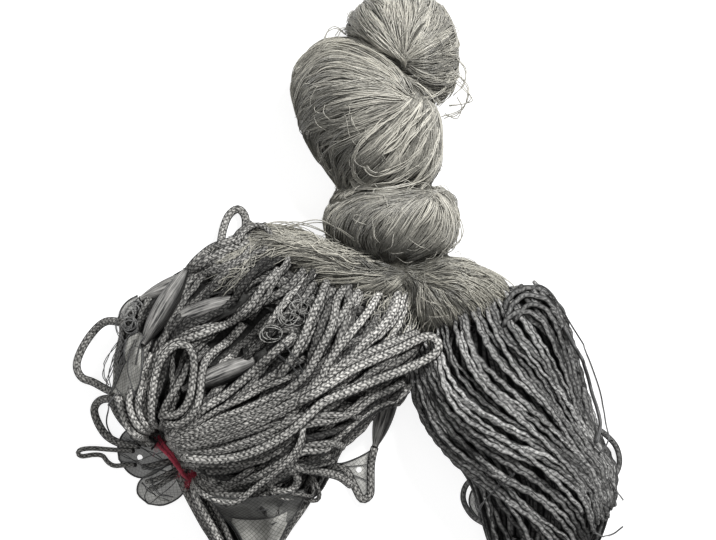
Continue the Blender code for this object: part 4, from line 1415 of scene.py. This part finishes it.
def build_float_line(settings):
    """The float line's hank: its dark inside, ropes round it, turns over it and single runs on top."""
    rng = np.random.default_rng(5)
    finish = Works.finishes["float_line"]
    wide, high = (v * MM for v in FLOAT_LINE)
    inside = Works.finishes["painted_shade_core"]
    core = core_of("float_line_hank", "float_line_core", 0.008, inside, past_tie, in_petals)
    kept(core)
    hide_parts("float_line_hank")
    skin = skin_of("float_line_hank")
    ground = relief()
    hank = Wrap(skin, FLOAT_SPINE, 190)
    foot = Wrap(skin, FOOT_SPINE, 70, stations=30, columns=40)
    base = []
    # The deeper layers have lower tones: painted shade under the ropes that lie over them.
    layers = ((hank, 40, -0.0072, 0.18), (hank, 30, -0.0034, 0.34), (foot, 5, -0.012, 0.12))
    for wrap, count, lift, tone in layers:
        for number in range(count):
            across = (number + 0.5) / count + rng.normal(0, 0.25 / count)
            span = (rng.uniform(0, 0.06) + (0.1 if wrap is foot else 0), rng.uniform(0.94, 1.0))
            lightness = np.clip(rng.normal(tone, 0.12), 0, 1)
            strand = wrap.rope(rng, across, span, lift, 0.014, wide, high, lightness)
            fit = 1 - 0.45 * np.clip((share_of(len(strand.path)) - 0.7) / 0.3, 0, 1)
            widths = wide * fit if wrap is hank else np.full(len(fit), wide)
            keep = ~in_hollow(strand.path) if lift > -0.005 else np.ones(len(strand.path), bool)
            for first, last in pieces_of(keep):
                if last - first > 4:
                    rows = slice(first, last)
                    base.append(Strand(strand.path[rows], strand.up[rows], widths[rows], high, lightness))
                    ground.add(base[-1])
    kept(strand_mesh("float_line_under", base, 8, finish))
    guides = [to_tie(guide) for guide in FLOAT_GUIDES]
    middle = lay_set(
        rng, ground, guides, FLOAT_PAINTED_LIGHT, settings.float_line_turns, FLOAT_LINE,
        tone=0.36, stray=0.0055, step=0.005, gather=0.4, late=0.14, crimp=0.0006,
    )
    middle += skirt(rng, skin, FLOAT_SKIRT, range(5, 48, 8), FLOAT_LINE, 0.66)
    kept(strand_mesh("float_line_turns", middle, 8, finish))
    top = []
    for rows, stiffness, over in ((FOOT_RUNS + FLOAT_RUNS, 10, 0.003), (TOP_RUNS, 30, 0.05)):
        if rows is TOP_RUNS:
            ground.stand_on(FLOATS)
        for width, tone, route in rows:
            plan = to_tie(route) * MM
            strand = ground.lay(plan, width * MM, high, tone, 0.0035, stiffness, ends=0.005, over=over)
            # Painted shade and painted light from the float line's patches are added to the run's tone along
            # it.
            strand.tone = np.clip(tone + painted_light_at(strand.path, FLOAT_PAINTED_LIGHT), 0.02, 1)
            top.append(strand)
    kept(strand_mesh("float_line_runs", top, 10, finish))


def from_tie(place):
    """How far a place is past the tie, away from the hank, and how far it is to the side."""
    x, y = place.x - TIE_MIDDLE[0] * MM, place.y - TIE_MIDDLE[1] * MM
    return x * TIE_WAY[1] - y * TIE_WAY[0], abs(x * TIE_WAY[0] + y * TIE_WAY[1])


def past_tie(place):
    """Whether a place is near the tie or in the foot, where the bundle is slack."""
    past, beside = from_tie(place)
    return past > -0.04 and beside < 0.05 or place.y < -0.188


def in_petals(place):
    """Whether a place is where only the films stand out past the tie."""
    past, beside = from_tie(place)
    return past > 0.011 and beside < 0.05


def over_the_end(rng, skin, spine, half_width, half_height):
    """Turns that run over a hank's far end and down to the floor."""
    tip, before = metres(spine[-1]), metres(spine[-2])
    heading = unit((tip - before) * (1, 1, 0))
    side = np.cross(heading, UP)
    found = []
    for across in np.linspace(-0.044, 0.044, 22):
        start = tip + side * (across + rng.normal(0, 0.001)) + UP * 0.006
        start = start - heading * rng.uniform(0.02, 0.026)
        path = []
        for angle in np.radians(np.linspace(122, -26, 24)):
            way = heading * math.cos(angle) + UP * math.sin(angle)
            hit = skin.ray_cast(Vector(start), Vector(way))[0]
            if hit:
                path.append(np.array(hit) + way * 0.4 * half_height)
        if len(path) < 16:
            continue
        path = smooth_path(eased(np.array(path), 2)[::2], 0.004)
        path = path + side * wander(rng, len(path), 4, 0.0012)[:, None]
        path[:, 2] = np.maximum(path[:, 2], half_height)
        tone = np.clip(rng.normal(0.4, 0.18), 0.05, 1)
        found.append(Strand(path, unit(path - start), half_width, half_height, tone))
    return found


def skirt(rng, skin, route, heights, size, tone):
    """Turns that lie round the side of a hank, one over the other, along a way that runs beside it."""
    half_width, half_height = (v * MM for v in size)
    plan = smooth_path(points_of(route) * MM, 0.005)
    found = []
    for height in heights:
        nearest = [skin.find_nearest(Vector((x, y, height * MM)))[:2] for x, y in plan]
        places, ups = (np.array([hit[k] for hit in nearest]) for k in (0, 1))
        ups[:, 2] = np.maximum(ups[:, 2], 0)
        path = eased(places - ups * 0.6 * half_height, 3) + UP * wander(rng, len(plan), 4, 0.0012)[:, None]
        path[:, 2] = np.maximum(path[:, 2], half_width)
        lightness = np.clip(rng.normal(tone, 0.2), 0.05, 1)
        found.append(Strand(path, unit(eased(ups, 3)), half_width, half_height, lightness))
    return found


def build_lead_line(settings):
    """The lead line's hank: its dark inside, ropes round it, turns over it and single runs on top."""
    rng = np.random.default_rng(8)
    finish = Works.finishes["lead_line"]
    wide, high = (v * MM for v in LEAD_LINE)
    core = core_of("lead_line_hank", "lead_line_core", 0.006, Works.finishes["painted_deep_shade_core"])
    kept(core)
    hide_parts("lead_line_hank")
    ground = relief()
    hank = Wrap(skin_of("lead_line_hank"), LEAD_SPINE, 130)
    base = []
    # The deeper layer has the lower tone: painted shade under the ropes that lie over it.
    for count, lift, tone in ((46, -0.0056, 0.08), (36, -0.0028, 0.26)):
        for number in range(count):
            across = (number + 0.5) / count + rng.normal(0, 0.3 / count)
            span = (rng.uniform(0, 0.05), rng.uniform(0.95, 1.0))
            lightness = np.clip(rng.normal(tone, 0.12), 0, 1)
            base.append(hank.rope(rng, across, span, lift, 0.012, wide, high, lightness))
            ground.add(base[-1])
    kept(strand_mesh("lead_line_under", base, 6, finish))
    top = lay_set(
        rng, ground, LEAD_GUIDES, LEAD_PAINTED_LIGHT, settings.lead_line_turns, LEAD_LINE,
        tone=0.54, stray=0.0034, step=0.0036, gather=0.2, late=0.05, crimp=0.0008,
    )
    for width, tone, route in LEAD_RUNS:
        plan = strayed(rng, smooth_path(points_of(route) * MM, 0.004), 0.0006, 0.0007)
        top.append(ground.lay(plan, width * MM, high, tone, 0.0036, over=0.002))
    skin = skin_of("lead_line_hank")
    top += over_the_end(rng, skin, LEAD_SPINE, wide, high)
    top += skirt(rng, skin, LEAD_SKIRT, range(4, 52, 6), LEAD_LINE, 0.34)
    kept(strand_mesh("lead_line_turns", top, 8, finish))


def film_material(name, colour, alpha):
    """A film of fine netting, see-through, with its meshes drawn as thin dark lines."""
    material, tree, shader = new_material(name, 0.55, 0.3)
    place, along, across = coordinates(tree)
    waver = times(tree, noise(tree, place, 60, 2), 0.006)
    lines = None
    for way in ("ADD", "SUBTRACT"):
        run = plus(tree, math_node(tree, way, along, across), waver)
        swing = math_node(tree, "SINE", times(tree, run, math.pi / FILM_MESH))
        wave = math_node(tree, "ABSOLUTE", swing)
        lines = wave if lines is None else math_node(tree, "MINIMUM", lines, wave)
    shade = ramp(tree, noise(tree, place, 45, 3), (0.35, 0.45), (0.65, 1.0))
    net = ramp(tree, lines, (0.08, 0.35), (0.34, 1.0))
    tinted = mixed(tree, 1.0, mixed(tree, 1.0, colour, shade, "MULTIPLY"), net, "MULTIPLY")
    tree.links.new(tinted, shader.inputs["Base Color"])
    shader.inputs["Alpha"].default_value = alpha
    return material


def build_films():
    """The thin films of netting that stand out past the tie, at the foot and beside the lead line."""
    rows, columns = 34, 29
    black = thread_material("edge_thread", (0.05, 0.05, 0.05, 1), (0.012, 0.012, 0.012, 1), 0.5)
    finishes = {tone: film_material(f"netting_film_{tone}", *look) for tone, look in FILM_TONES.items()}
    ground = relief()
    rng = np.random.default_rng(21)
    for name, (tone, bow, edges, hole) in FILMS.items():
        left, right = (even_points(smooth_path(points_of(e, 3), 4), rows) * MM for e in edges)
        share = share_of(columns)[None, :, None]
        grid = left[:, None] * (1 - share) + right[:, None] * share
        tipwards = unit(grid[-1].mean(axis=0) - grid[0].mean(axis=0)) * (1, 1, 0)
        still = (1 - share_of(rows))[:, None, None]
        grid = grid + tipwards * bow * MM * np.sin(math.pi * share) * still
        ripple = np.array([wander(rng, columns, 3, 0.0012) for _ in range(rows)])
        grid[..., 2] += eased(ripple, 4)
        if name in LAID_FILMS:
            grid[..., 2] = draped(grid, ground, LAID_FILMS[name])
            grid = drawn_in(grid, FLANKS["float"])
        grid[..., 2] = np.maximum(grid[..., 2], 0.0012)
        film = grid_mesh(name, grid, finishes[tone], hole)
        rims = []
        inner = [grid[0]] if name in LAID_FILMS else [grid[:, 8], grid[:, 18]]
        for edge, radius in ((grid[:, 0], 0.0009), (grid[:, -1], 0.0009), *((row, 0.0004) for row in inner)):
            rims.append(Strand(smooth_path(edge, 0.004) + UP * 0.0009, UP, radius, 0.0008, 0.4))
        rim = strand_mesh(name + "_rim", rims, 5, black)
        kept(film)
        kept(rim)
    for name, (radius, route) in {**EDGE_THREADS, **EDGE_ENDS}.items():
        path = smooth_path(points_of(route, 3) * MM, 0.003)
        lain = laid_thread(ground, path[:, :2], 0.0009, 0.5).path[:, 2]
        path[:, 2] = np.maximum(path[:, 2], np.where(lain > 0.004, lain, 0.0009))
        lay_cord(name, path, radius, radius, 0.5, 6, black)
    lines = []
    for route in LOOSE_LINES:
        for _ in range(2):
            plan = strayed(rng, smooth_path(points_of(route) * MM, 0.003), 0.0009)
            lines.append(laid_thread(ground, plan, 0.00045, 0.4))
    kept(strand_mesh("edge_threads_over", lines, 4, black))


def draped(grid, ground, gap):
    """The heights of a film's grid where it lies on what is under it."""
    under = ground.height[ground.cells(grid)] + gap
    for _ in range(12):
        smooth = eased(eased(under, 1).T, 1).T
        under = np.maximum(under, smooth)
    for _ in range(4):
        under = eased(eased(under, 1).T, 1).T
    tip = np.clip((share_of(len(grid)) - 0.72) / 0.28, 0, 1)[:, None]
    return under * (1 - tip) + grid[..., 2] * tip


def laid_thread(ground, plan, radius, tone):
    """A fine thread that lies on whatever is under its line in plan."""
    height = ground.under(plan, radius)
    for _ in range(3):
        height = np.maximum(height, eased(height, 2))
    z = np.clip(height + radius + 0.0016, radius, HIGHEST)
    return Strand(np.column_stack([plan, z]), UP, radius, radius, tone)


def build_rings(rng, ground):
    """Fine curls of thread that lie loose on the hanks."""
    finish = thread_material("loose_thread", (0.46, 0.455, 0.43, 1), (0.03, 0.03, 0.03, 1), 0.5)
    curls = []
    points = 40
    for middle, radii, turns, tone in RINGS:
        for _ in range(2):
            angle = np.linspace(0, math.tau * turns, points) + rng.uniform(0, math.tau)
            reach = rng.uniform(0.6, 1.1) + wander(rng, points, 5, 0.22)
            spot = np.array(middle) + rng.normal(0, 1.6, 2)
            plan = spot + np.stack([radii[0] * np.cos(angle), radii[1] * np.sin(angle)], 1) * reach[:, None]
            curls.append(laid_thread(ground, plan * MM, 0.00038 if tone > 0.3 else 0.0007, tone))
    return strand_mesh("netting_curls", curls, 4, finish)


def grid_mesh(name, grid, material, hole=None):
    """A sheet through the rows and columns of a grid, with a UV map in metres, and a round hole if given."""
    rows, columns = grid.shape[:2]
    faces = [
        (r * columns + c, r * columns + c + 1, (r + 1) * columns + c + 1, (r + 1) * columns + c)
        for r in range(rows - 1)
        for c in range(columns - 1)
    ]
    places = grid.reshape(-1, 3).copy()
    if hole:
        middle, radius = metres(hole[:2]), hole[2] * MM
        gaps = np.linalg.norm(places[np.array(faces)].mean(axis=1)[:, :2] - middle, axis=1)
        cut = {v for face, gap in zip(faces, gaps) if gap <= radius for v in face}
        faces = [face for face, gap in zip(faces, gaps) if gap > radius]
        for v in cut & {v for face in faces for v in face}:
            away = places[v, :2] - middle
            places[v, :2] = middle + away * radius / np.linalg.norm(away)
    mesh = bpy.data.meshes.new(name)
    mesh.from_pydata(places.tolist(), [], faces)
    run = run_along(grid[:, columns // 2])
    wide = np.linalg.norm(grid[:, -1] - grid[:, 0], axis=1)
    layer = mesh.uv_layers.new(name="UVMap")
    for loop in mesh.loops:
        r, c = divmod(loop.vertex_index, columns)
        layer.uv[loop.index].vector = (run[r], wide[r] * (c / (columns - 1) - 0.5))
    mesh.shade_smooth()
    return placed(name, mesh, material)


def float_model():
    """One float at the origin, drawn out along X: a spindle with ribs, and a band round each end."""
    bpy.ops.object.select_all(action="DESELECT")
    upright = (0, math.pi / 2, 0)
    bpy.ops.mesh.primitive_circle_add(
        vertices=32, radius=FLOAT_RADIUS * MM, fill_type="NGON", rotation=upright,
    )
    model = bpy.context.active_object
    model.name = "float_model"
    bpy.ops.object.transform_apply(location=False, rotation=True, scale=True)
    half = 0.5 * FLOAT_LENGTH * MM
    profile = [*((-along, wide) for along, wide in FLOAT_PROFILE), (0.0, 1.0), *FLOAT_PROFILE[::-1]]
    bpy.ops.object.mode_set(mode="EDIT")
    bpy.ops.mesh.select_all(action="SELECT")
    size = profile[0][1]
    bpy.ops.transform.resize(value=(size, size, size), center_override=(0, 0, 0))
    bpy.ops.transform.translate(value=(half * profile[0][0], 0, 0))
    for (before, old), (along, wide) in zip(profile, profile[1:]):
        step = half * (along - before)
        bpy.ops.mesh.extrude_region_move(TRANSFORM_OT_translate={"value": (step, 0, 0)})
        scale = wide / old
        bpy.ops.transform.resize(value=(1, scale, scale), center_override=(half * along, 0, 0))
    bpy.ops.mesh.select_all(action="SELECT")
    bpy.ops.mesh.normals_make_consistent(inside=False)
    bpy.ops.object.mode_set(mode="OBJECT")
    for vertex in model.data.vertices:
        along, across = vertex.co.x / half, math.atan2(vertex.co.z, vertex.co.y)
        rib = 1 + 0.035 * math.cos(8 * across) * max(0.0, 1 - along * along)
        vertex.co.y *= rib
        vertex.co.z *= rib
    bpy.ops.object.modifier_add(type="SUBSURF")
    model.modifiers[0].levels = model.modifiers[0].render_levels = 1
    bpy.ops.object.modifier_apply(modifier=model.modifiers[0].name)
    bpy.ops.object.shade_smooth()
    return model


def build_floats():
    """The five floats, each turned to its place."""
    model = float_model()
    for name, (heading, dip) in FLOATS.items():
        low, high = (np.array(c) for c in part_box(name))
        middle = (low + high) / 2
        choose(model)
        bpy.ops.object.duplicate()
        piece = bpy.context.active_object
        piece.name = name + "_body"
        piece.rotation_euler = (0, math.radians(dip), math.radians(heading))
        piece.location = middle
        bpy.ops.object.transform_apply(location=True, rotation=True, scale=True)
        piece.data.materials.clear()
        piece.data.materials.append(float_material(name, heading, dip, middle))
        kept(piece)
        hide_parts(name)
    bpy.data.objects.remove(model)


def float_material(name, heading, dip, middle):
    """Grey foam with lighter and darker lines along it, painted light on one side fading to painted shade on
    the other, and black bands at its ends.
    """
    material, tree, shader = new_material(name + "_foam", 0.55, 0.25)
    place = tree.nodes.new("ShaderNodeTexCoord").outputs["Object"]
    mapping = tree.nodes.new("ShaderNodeMapping")
    mapping.vector_type = "TEXTURE"
    mapping.inputs["Location"].default_value = tuple(middle)
    mapping.inputs["Rotation"].default_value = (0, math.radians(dip), math.radians(heading))
    tree.links.new(place, mapping.inputs["Vector"])
    split = tree.nodes.new("ShaderNodeSeparateXYZ")
    tree.links.new(mapping.outputs[0], split.inputs[0])
    round_ = math_node(tree, "ARCTAN2", split.outputs[2], split.outputs[1])
    spread = tree.nodes.new("ShaderNodeCombineXYZ")
    tree.links.new(times(tree, split.outputs[0], 14), spread.inputs[0])
    tree.links.new(times(tree, round_, 2.2), spread.inputs[1])
    streak = noise(tree, spread.outputs[0], 2.4, 3, 0.62)
    cloud = centred(tree, noise(tree, place, 60, 2), 0.3)
    share = ramp(tree, plus(tree, streak, cloud), (0.36, 0.0), (0.64, 1.0))
    grey = mixed(tree, share, (0.03, 0.03, 0.03, 1), (0.36, 0.352, 0.335, 1))
    # Painted light and painted shade: the foam is coloured lighter on the side towards the key light and
    # darker on the far side.
    painted_lit_side = math_node(tree, "SINE", plus(tree, round_, 0.55))
    grey = mixed(tree, 1.0, grey, ramp(tree, painted_lit_side, (0.3, 0.1), (0.95, 1.0)), "MULTIPLY")
    outward = math_node(tree, "ABSOLUTE", split.outputs[0])
    ends = math_node(tree, "GREATER_THAN", outward, BAND_START * FLOAT_LENGTH * MM)
    tree.links.new(mixed(tree, ends, grey, (0.02, 0.02, 0.02, 1)), shader.inputs["Base Color"])
    set_bump(tree, shader, streak, 0.7, 0.0012)
    return material


def waist(angle, grow):
    """A point on the half ellipse over the waist under the tie."""
    half_width, height, base = TIE_WAIST
    sideways = np.array((*TIE_WAY, 0.0)) * (half_width + grow) * math.cos(angle)
    return (np.array((*TIE_MIDDLE, base)) + sideways + UP * (height + grow) * math.sin(angle)) * MM


def twisted(path, radius, ply, tone):
    """Plies of yarn wound round the path."""
    path = smooth_path(path, 0.0011)
    heading = unit(np.gradient(path, axis=0))
    side = unit(np.cross(heading, UP + 0.01))
    lift = np.cross(side, heading)
    run = run_along(path)
    found = []
    for number in range(YARN_PLIES):
        angle = math.tau * (number / YARN_PLIES + run * YARN_TURNS)
        line = path + (side * np.cos(angle)[:, None] + lift * np.sin(angle)[:, None]) * radius
        found.append(Strand(line, UP, ply, ply, tone))
    return found


def build_tie():
    """The yarn bound over the float line's waist, with a knot, two short ends and fuzz."""
    rng = np.random.default_rng(3)
    finish = thread_material("tie_yarn", (0.58, 0.055, 0.1, 1), (0.1, 0.008, 0.018, 1), 0.9)
    strands = []
    along = np.array((TIE_WAY[1], -TIE_WAY[0], 0.0))
    angles = np.linspace(0.02, math.pi - 0.02, 28)
    for offset, grow, stray in ((-0.4, 8.6, 2.6), (2.6, 9.4, 3.0)):
        aside = offset + 1.6 * np.sin(angles) + wander(rng, len(angles), 5, stray * 0.5)
        path = np.array([waist(a, grow + s) for a, s in zip(angles, wander(rng, len(angles), 5, 0.5))])
        strands += twisted(path + along * aside[:, None] * MM, 0.0013, 0.00105, 0.55)
    knot = waist(math.radians(30), 11.5)
    for turn, tip in ((0.0, 0.0), (1.3, 0.7), (2.4, -0.5)):
        t = np.linspace(0, 1.75 * math.pi, 26)
        loop = np.stack([np.cos(t) * 5.4, np.sin(t) * 4.0, 2.4 * np.sin(2 * t + tip)], axis=1) * MM
        cos, sin = math.cos(turn), math.sin(turn)
        loop = loop @ np.array(((cos, sin, 0), (-sin, cos, 0), (0, 0, 1)))
        strands += twisted(loop + knot, 0.0012, 0.001, 0.66)
    for ends in TIE_ENDS:
        strands += twisted(knot + points_of(ends, 3) * MM, 0.001, 0.0009, 0.6)
    for _ in range(900):
        host = strands[rng.integers(len(strands))].path
        start = host[rng.integers(len(host))]
        way = unit(rng.normal(size=3) + UP * 0.5)
        bend = unit(rng.normal(size=3))
        t = np.linspace(0, 1, 5)[:, None]
        length = rng.uniform(0.0015, 0.0062)
        hair = start + way * length * t + bend * length * 0.5 * t * t
        hair[:, 2] = np.maximum(hair[:, 2], 0.0004)
        strands.append(Strand(hair, UP + 0.02, 0.00016, 0.00016, rng.uniform(0.4, 1), taper=True))
    piece = strand_mesh("tie_yarn", strands, 6, finish)
    kept(piece)
    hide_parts("tie")


def make_finishes(settings):
    """The finishes that the two lines' pieces share."""
    float_yarns = tuple(settings.line_light), tuple(settings.line_dark)
    lead_yarns = tuple(settings.lead_light), tuple(settings.lead_dark)
    Works.finishes = {
        "float_line": braid_material(
            "float_line_braid", *float_yarns, rows=8, stitch_depth=0.34, seam=0.0,
            side_dark=0.3, side_light=0.86,
        ),
        "lead_line": braid_material(
            "lead_line_braid", *lead_yarns, rows=4, stitch_depth=0.18, seam=0.7,
            side_dark=0.5, side_light=0.97,
        ),
        # The cores' dark finishes are painted shade, seen in the gaps between the ropes.
        "painted_shade_core": shade_core_material("hank_core", (0.045, 0.045, 0.043, 1)),
        "painted_deep_shade_core": shade_core_material("lead_core", (0.02, 0.02, 0.021, 1)),
    }


# ---- add-on


LIGHTS = (
    ("key", (1.0, 1.4, 1.6), 0.6, 88), ("fill", (-1.6, -0.4, 1.5), 1.6, 9), ("top", (0.2, 0.1, 2.6), 1.6, 9),
)
COLOUR = {"subtype": "COLOR", "size": 4, "min": 0, "max": 1}


class NetSettings(bpy.types.PropertyGroup):
    """How many threads and turns are laid, and their colours"""

    netting_light: FloatVectorProperty(
        name="Netting light", description="Colour of the netting's light threads",
        default=(0.54, 0.52, 0.455, 1), **COLOUR,
    )
    netting_dark: FloatVectorProperty(
        name="Netting dark", description="Colour of the netting's dark threads",
        default=(0.125, 0.121, 0.104, 1), **COLOUR,
    )
    fan_light: FloatVectorProperty(
        name="Fan light", description="Colour of the fans' light threads",
        default=(0.48, 0.462, 0.395, 1), **COLOUR,
    )
    fan_dark: FloatVectorProperty(
        name="Fan dark", description="Colour of the fans' dark threads",
        default=(0.1, 0.097, 0.083, 1), **COLOUR,
    )
    threads_under: IntProperty(name="Threads under", description="Single threads round the bulb", default=700)
    locks_over: IntProperty(name="Locks over", description="Locks of thread laid over the bulb", default=230)
    threads_per_lock: IntProperty(name="Threads per lock", description="Threads in one lock", default=5)
    float_line_turns: IntProperty(
        name="Float line turns", description="Turns over the float line's hank", default=38,
    )
    lead_line_turns: IntProperty(
        name="Lead line turns", description="Turns over the lead line's hank", default=52,
    )
    line_light: FloatVectorProperty(
        name="Float line light", description="Colour of the float line's light yarn",
        default=(0.66, 0.645, 0.61, 1), **COLOUR,
    )
    line_dark: FloatVectorProperty(
        name="Float line dark", description="Colour of the float line's dark yarn",
        default=(0.05, 0.05, 0.048, 1), **COLOUR,
    )
    lead_light: FloatVectorProperty(
        name="Lead line light", description="Colour of the lead line's light yarn",
        default=(0.66, 0.655, 0.635, 1), **COLOUR,
    )
    lead_dark: FloatVectorProperty(
        name="Lead line dark", description="Colour of the lead line's dark yarn",
        default=(0.06, 0.06, 0.062, 1), **COLOUR,
    )


class NET_OT_stage(bpy.types.Operator):
    """Lay the floor, place the lights and the camera"""

    bl_idname = "gillnet.stage"
    bl_label = "Stage"

    def execute(self, context):
        bpy.ops.object.select_all(action="DESELECT")
        bpy.ops.mesh.primitive_plane_add(size=12, location=(0, 0, 0))
        floor = context.active_object
        floor.name = "floor"
        material, _, shader = new_material("floor_white", 0.9, 0.1)
        shader.inputs["Base Color"].default_value = (0.36, 0.36, 0.36, 1)
        shader.inputs["Emission Color"].default_value = (1, 1, 1, 1)
        shader.inputs["Emission Strength"].default_value = 0.85
        floor.data.materials.append(material)
        for name, place, size, power in LIGHTS:
            bpy.ops.object.light_add(type="AREA", location=place)
            light = context.active_object
            light.name = name
            light.data.size = size
            light.data.energy = power
            light.rotation_euler = Vector(place).to_track_quat("Z", "Y").to_euler()
        world = bpy.data.worlds.new("studio")
        world.use_nodes = True
        world.node_tree.nodes["Background"].inputs[0].default_value = (1, 1, 1, 1)
        world.node_tree.nodes["Background"].inputs[1].default_value = 0.22
        context.scene.world = world
        context.scene.view_settings.view_transform = "Standard"
        lens, sensor, frame_width, focus = 135.0, 36.0, 0.716, 0.05
        distance = frame_width * lens / sensor
        bpy.ops.object.camera_add(location=(0.013, 0.025, focus + distance), rotation=(0, 0, 0))
        camera = context.active_object
        camera.data.lens = lens
        camera.data.sensor_width = sensor
        camera.data.clip_end = 20
        context.scene.camera = camera
        return {"FINISHED"}


class NET_OT_netting(bpy.types.Operator):
    """Lay the netting's threads over the twisted skein"""

    bl_idname = "gillnet.netting"
    bl_label = "Netting"

    def execute(self, context):
        build_netting(context.scene.gill_net)
        return {"FINISHED"}


class NET_OT_loops(bpy.types.Operator):
    """Lay the free loops of the float line and the lead line"""

    bl_idname = "gillnet.loops"
    bl_label = "Loops"

    def execute(self, context):
        make_finishes(context.scene.gill_net)
        build_loops()
        return {"FINISHED"}


class NET_OT_float_line(bpy.types.Operator):
    """Lay the turns of the float line"""

    bl_idname = "gillnet.float_line"
    bl_label = "Float line"

    def execute(self, context):
        build_float_line(context.scene.gill_net)
        return {"FINISHED"}


class NET_OT_lead_line(bpy.types.Operator):
    """Lay the turns of the lead line"""

    bl_idname = "gillnet.lead_line"
    bl_label = "Lead line"

    def execute(self, context):
        build_lead_line(context.scene.gill_net)
        return {"FINISHED"}


class NET_OT_films(bpy.types.Operator):
    """Spread the films of netting and the loose threads of the net's edge"""

    bl_idname = "gillnet.films"
    bl_label = "Films"

    def execute(self, context):
        build_films()
        return {"FINISHED"}


class NET_OT_floats(bpy.types.Operator):
    """Make the floats"""

    bl_idname = "gillnet.floats"
    bl_label = "Floats"

    def execute(self, context):
        build_floats()
        return {"FINISHED"}


class NET_OT_tie(bpy.types.Operator):
    """Bind the tie"""

    bl_idname = "gillnet.tie"
    bl_label = "Tie"

    def execute(self, context):
        build_tie()
        return {"FINISHED"}


class NET_PT_panel(bpy.types.Panel):
    """The buttons that dress the net, in their order"""

    bl_label = "Gill Net"
    bl_idname = "NET_PT_panel"
    bl_space_type = "VIEW_3D"
    bl_region_type = "UI"
    bl_category = "Gill Net"

    def draw(self, context):
        for operator in OPERATORS:
            self.layout.operator(operator.bl_idname)


OPERATORS = (
    NET_OT_stage, NET_OT_loops, NET_OT_lead_line, NET_OT_float_line, NET_OT_netting, NET_OT_films,
    NET_OT_floats, NET_OT_tie,
)
CLASSES = (NetSettings, *OPERATORS, NET_PT_panel)


def register():
    for cls in CLASSES:
        bpy.utils.register_class(cls)
    bpy.types.Scene.gill_net = PointerProperty(type=NetSettings)


def unregister():
    del bpy.types.Scene.gill_net
    for cls in reversed(CLASSES):
        bpy.utils.unregister_class(cls)


def main():
    register()
    for operator in OPERATORS:
        group, name = operator.bl_idname.split(".")
        getattr(getattr(bpy.ops, group), name)()


if __name__ == "__main__":
    main()
